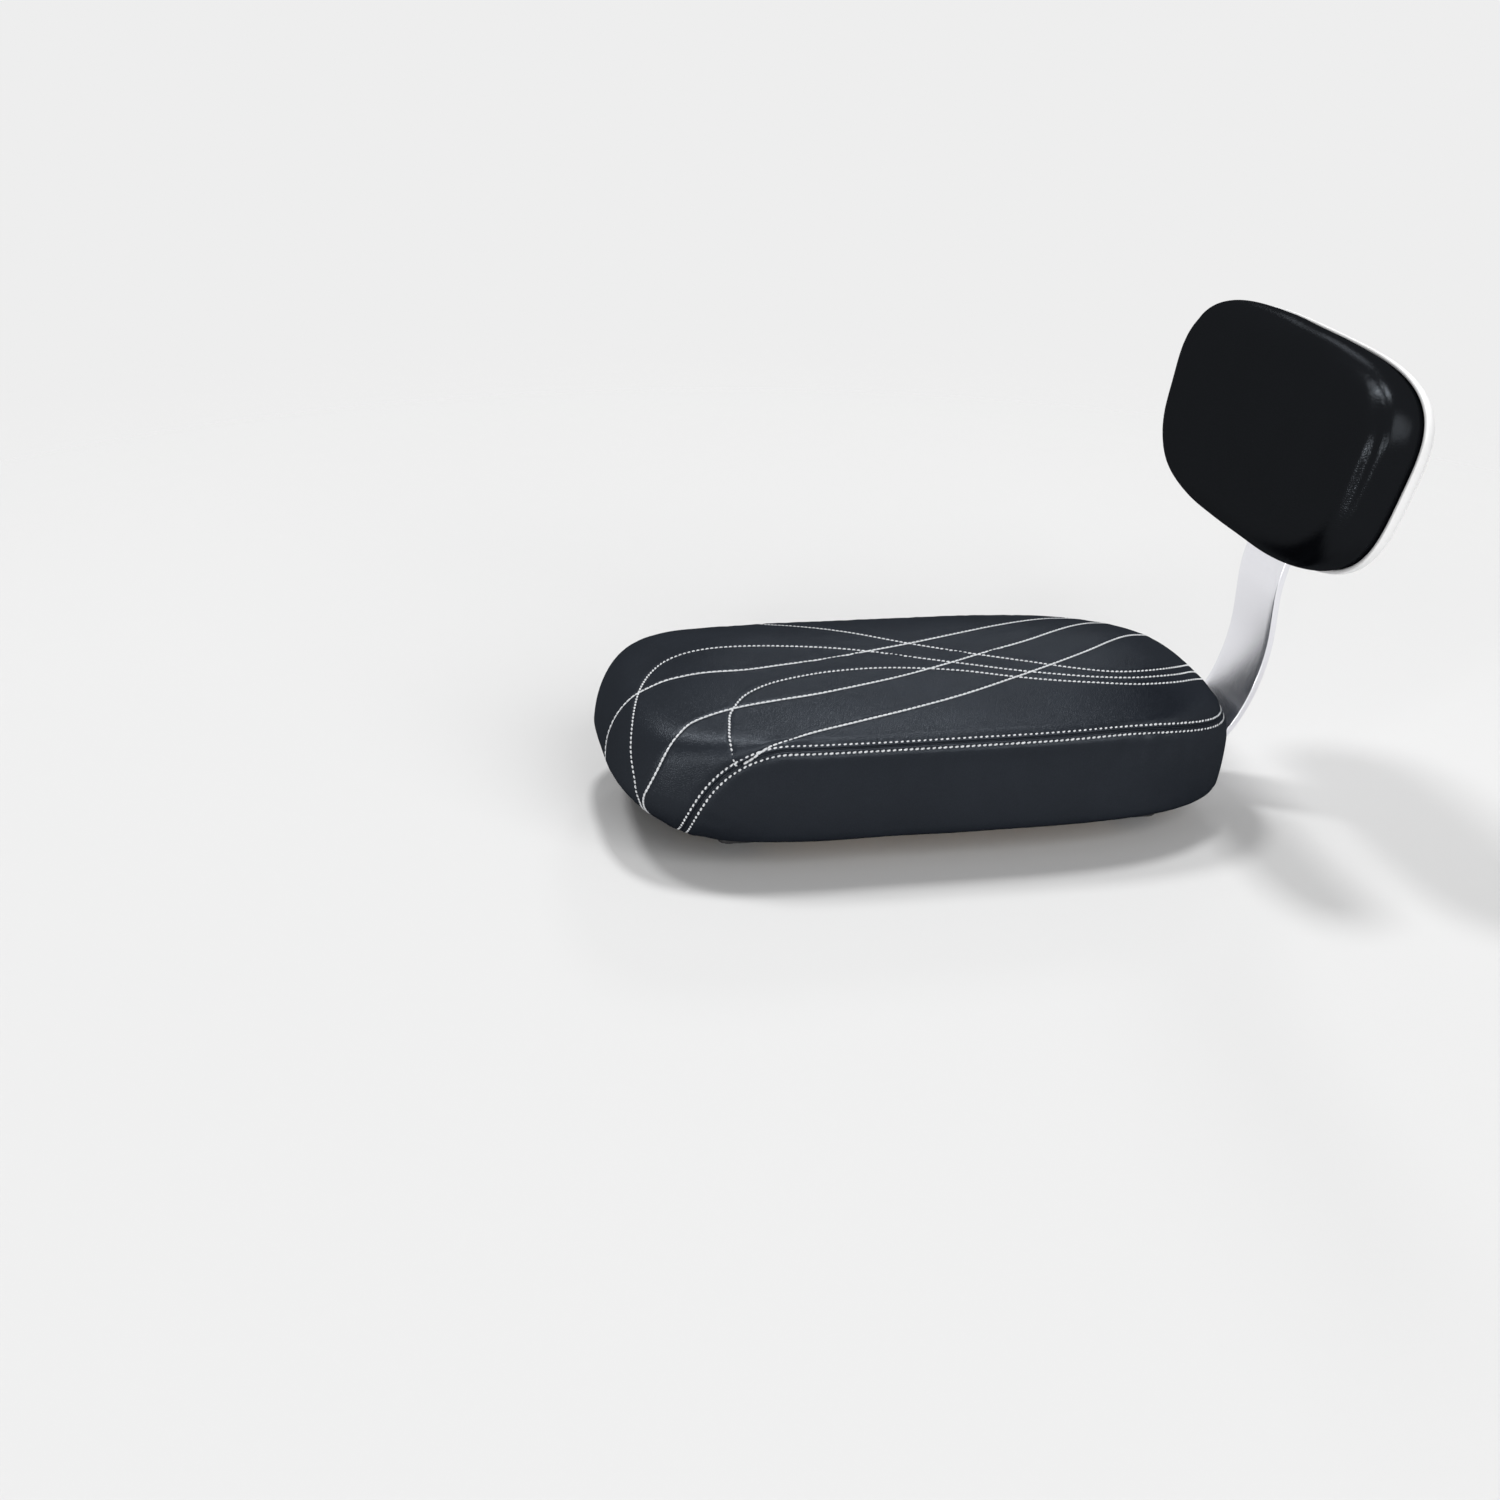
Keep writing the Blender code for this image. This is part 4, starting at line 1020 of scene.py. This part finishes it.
def add_backrest_piece(bm, name, mat):
    """A piece made in the backrest's own frame, moved to its place."""
    mesh = mesh_of(bm, name)
    mesh.transform(BACKREST)
    mesh.update()
    return add_piece(name, mesh, mat)


def pad_rows():
    """Profile of the pad's cover: its hidden inside, then from the turned edge round to the face's middle."""
    inner = TUCKED_INSET + COVER_THICKNESS + 0.0003
    turned = TUCKED_INSET + TURNED_EDGE
    back = COVER_BACK + COVER_THICKNESS
    hidden = [(PAD_MIDDLE, BACK_BOARD_TOP), (inner, BACK_BOARD_TOP), (inner, back + 0.0028),
              (inner + 0.0020, back), (turned, back), (turned, COVER_BACK)]
    outer = quarter(TUCKED_INSET, COVER_BACK, COVER_BACK_RADIUS) + [(TUCKED_INSET, SHELL_DEPTH)]
    for share in np.linspace(0.1, 1.0, 10):
        level = SHELL_DEPTH + (PAD_FULL_START - SHELL_DEPTH) * share
        outer.append((TUCKED_INSET * (1 - math.sin(share * math.pi / 2)), level))
    outer.append((0.0, PAD_FULL_END))
    for angle in np.linspace(0.06, math.pi / 2, 22):
        level = PAD_FULL_END + PAD_FRONT_ROUND * math.sin(angle)
        outer.append((PAD_FRONT_INSET * (1 - math.cos(angle)), level))
    last = PAD_FULL_END + PAD_FRONT_ROUND
    for inset in np.linspace(PAD_FRONT_INSET + 0.002, PAD_MIDDLE, 24):
        share = (inset - PAD_FRONT_INSET) / (PAD_MIDDLE - PAD_FRONT_INSET)
        outer.append((inset, last + PAD_CROWN_RISE * math.sin(share * math.pi / 2)))
    outer = dense(outer, 0.0006)
    return dense(hidden, 0.010), smooth_rows(outer, 14, len(outer) - 4, PAD_ROUND_PASSES)


def build_pad():
    hidden, outer = pad_rows()
    form = Form(PAD_OUTLINE, np.vstack([hidden, outer]), pad_ring)
    start, end = form.along[len(hidden)], form.along[-1]
    levels = list(form.along[:len(hidden)]) + list(np.linspace(start, end, int((end - start) / PAD_STEP)))
    bm = form_bmesh(form, levels, PAD_AROUND)
    push_out(bm, form, pad_relief(vertex_places(bm), form_places(bm)[1] > start), PAD_CORE)
    pad = add_backrest_piece(bm, "backrest_pad", GLOSS)
    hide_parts("backrest_cover", "backrest_foam")


def pad_relief(places, outer):
    """Soft crease at each end, where the face turns to the side, and a slightly uneven face."""
    x, y, level = places.T / MM
    broad = ripple(x + 0.5 * y, *PAD_WAVES_MM[0]) * ripple(y - 0.4 * x, *PAD_WAVES_MM[1])
    move = np.where(outer & (level > PAD_FULL_START / MM), 0.45 * broad, 0.0)
    groove = 1.10 * bump(level, 33.0 + 0.48 * np.sin(y / 19.0), 2.0)
    crease = 0.35 * bump(level, 36.6, 1.4) - groove + 0.45 * bump(level, 28.2, 2.6)
    ends = np.clip((np.abs(x) - PAD_END_START_MM) / PAD_END_RUN_MM, 0.0, 1.0)
    small = 0.06 * ripple(y, *PAD_CREASES_MM) * bump(level, 30.0, 4.0)
    window = bump(y, PAD_CREASE_CENTRE_MM, PAD_CREASE_RUN_MM)
    return (move + np.where(outer, (crease * window + small) * ends, 0.0)) * MM


def build_shell():
    """Shallow dish with a rounded back edge and a rounded lip."""
    outer = [(PAD_MIDDLE, SHELL_BACK), (0.030, SHELL_BACK)] + quarter(0.0, SHELL_BACK, SHELL_BACK_RADIUS, 12)
    lip = SHELL_WALL / 2 - 0.0002
    for angle in np.linspace(0.0, math.pi, 9):
        outer.append((lip * (1 - math.cos(angle)), SHELL_DEPTH - lip * 0.6 + lip * 0.6 * math.sin(angle)))
    floor = SHELL_BACK + SHELL_WALL
    inner = quarter(SHELL_WALL, floor, SHELL_BACK_RADIUS - SHELL_WALL, 7)[::-1]
    form = Form(PAD_OUTLINE, dense(outer + inner + [(PAD_MIDDLE, floor)], 0.012), pad_ring)
    bm = form_bmesh(form, form.along, SHELL_AROUND)
    shell = add_backrest_piece(bm, "backrest_dish", SHELL_MATERIAL)
    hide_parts("backrest_shell")


def strip_path(step=0.0012):
    """Front face of the strip from its foot, round the bends and up behind the pad: X, Z and direction."""
    places, x, z, angle = [], BEND_START_X - FOOT_LENGTH, STRIP_THICKNESS, 0.0
    lean = math.pi / 2 - RECLINE
    parts = (
        (FOOT_LENGTH, 0.0), (LOWER_BEND_RADIUS * LOWER_BEND_ANGLE, LOWER_BEND_ANGLE),
        (UPPER_BEND_RADIUS * (math.pi / 2 - LOWER_BEND_ANGLE), math.pi / 2 - LOWER_BEND_ANGLE),
        (STRIP_UPRIGHT_LENGTH, 0.0), (LEAN_BEND_RADIUS * RECLINE, lean - math.pi / 2),
        (BACKREST_UP_STRIP + PAD_HALF_HEIGHT - STRIP_END_BELOW_PAD_TOP, 0.0))
    for length, turn in parts:
        count = max(1, int(math.ceil(length / step)))
        for _ in range(count):
            places.append((x, z, angle))
            middle = angle + turn / count / 2
            x += math.cos(middle) * length / count
            z += math.sin(middle) * length / count
            angle += turn / count
    places.append((x, z, angle))
    return np.array(places)


def build_strip():
    """Flat strip with softened edges, rounded at both ends."""
    path = strip_path()
    at = run_length(path[:, :2])
    lead = STRIP_END_RADIUS * (1 - np.cos(np.linspace(0, math.pi / 2, 14)))
    straight = at[(at > lead[-1]) & (at < at[-1] - lead[-1])]
    stops = np.unique(np.round(np.concatenate([lead, straight, at[-1] - lead]), 7))
    rows = []
    for stop in stops:
        x, z, angle = sample(stop, at, path)
        short = STRIP_END_RADIUS - min(stop, at[-1] - stop, STRIP_END_RADIUS)
        cut = STRIP_END_RADIUS - math.sqrt(max(0.0, STRIP_END_RADIUS ** 2 - short ** 2))
        rows.append([
            (x + math.sin(angle) * depth, side, z - math.cos(angle) * depth)
            for side, depth in strip_section(STRIP_WIDTH / 2 - cut, STRIP_THICKNESS, STRIP_EDGE_RADIUS)])
    vertices = [place for row in rows for place in row]
    mesh = mesh_from("bracket_strip", vertices, tube_faces(len(rows), len(rows[0])), outward=True)
    strip = add_piece("bracket_strip", mesh, CHROME)
    for polygon in mesh.polygons:
        polygon.use_smooth = len(polygon.vertices) < 5
    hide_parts("backrest_bracket")


def strip_section(wide, thick, soft):
    """Places round the strip's section: across, and down from the front face."""
    ring = []
    for side, low, start in ((1, False, -90), (1, True, 0), (-1, True, 90), (-1, False, 180)):
        centre = (side * (wide - soft), thick - soft if low else soft)
        for angle in np.radians(np.linspace(start, start + 90, 5)):
            ring.append((centre[0] + soft * math.cos(angle), centre[1] + soft * math.sin(angle)))
        if low == (side == 1):
            shares = np.linspace(0.8, -0.8, 5) * side
            ring += [(share * (wide - soft), thick if low else 0.0) for share in shares]
    return ring


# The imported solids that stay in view

def dress_nodes():
    """Materials and softened edges for every node that no piece of the scene replaces."""
    hidden = (
        "seat_top", "seat_side", "seat_foam",
        "backrest_cover", "backrest_foam", "backrest_shell", "backrest_bracket")
    for name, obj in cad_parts.items():
        if name.startswith(hidden):
            continue
        mat = NODE_MATERIALS.get(name, ZINC)
        for slot in obj.material_slots:
            slot.material = mat
        if not obj.material_slots:
            obj.data.materials.append(mat)
        weld = obj.modifiers.new("weld", "WELD")
        weld.merge_threshold = 0.00001
        edge = obj.modifiers.new("edge", "BEVEL")
        edge.width = 0.0003
        edge.segments = 3
        edge.limit_method = "ANGLE"
        edge.angle_limit = math.radians(38)


# Floor, lights and camera

def build_stage():
    """The floor, and a world that is pale where it is seen or mirrored and a dim dome as a light."""
    half = FLOOR_HALF
    corners = [(x, y, FLOOR_HEIGHT) for x, y in ((-half, -half), (half, -half), (half, half), (-half, half))]
    mesh = mesh_from("floor", corners, [(0, 1, 2, 3)])
    mesh.materials.append(floor_material())
    floor = add_object("floor", mesh)
    world = bpy.data.worlds.new("studio")
    world.use_nodes = True
    tree = world.node_tree
    sky = node(tree, "SeparateXYZ", Vector=node(tree, "TexCoord").outputs["Generated"]).outputs["Z"]
    dome = ramp(tree, scaled(tree, sky, 0.0, 1.0), [(at, grey(tone)) for at, tone in DOME_TONES])
    ray = node(tree, "LightPath").outputs
    mirrored = math_node(tree, "MAXIMUM", ray["Is Glossy Ray"], ray["Is Transmission Ray"])
    plain = math_node(tree, "MAXIMUM", ray["Is Camera Ray"], mirrored)
    shown = node(tree, "Mix", data_type="RGBA", Factor=plain, A=dome, B=(*grey(BACKGROUND_TONE), 1.0))
    tree.links.new(shown.outputs["Result"], tree.nodes["Background"].inputs["Color"])
    bpy.context.scene.world = world


def build_lights():
    """Large soft lamps far away, which light the floor evenly."""
    for name, (direction, strength, angle_deg) in SUNS.items():
        light = bpy.data.lights.new(name, "SUN")
        light.energy = strength
        light.angle = math.radians(angle_deg)
        obj = add_object(name, light)
        obj.rotation_mode = "QUATERNION"
        obj.rotation_quaternion = (-Vector(direction)).to_track_quat("-Z", "Y")


def build_camera():
    data = bpy.data.cameras.new("camera")
    data.lens = CAMERA_LENS
    data.sensor_width = CAMERA_SENSOR
    data.clip_start, data.clip_end = 0.01, 100.0
    camera = add_object("camera", data)
    camera.location = CAMERA_PLACE
    camera.rotation_euler = Euler([math.radians(a) for a in CAMERA_TURN_DEG], "XYZ")
    bpy.context.scene.camera = camera


build_camera()
PLAIN, SEAM, LINES = build_cushion()
build_stitches(PLAIN, SEAM, LINES)
build_staples()
build_pad()
build_shell()
build_strip()
dress_nodes()
build_stage()
build_lights()
bpy.context.scene.view_settings.view_transform = "Standard"
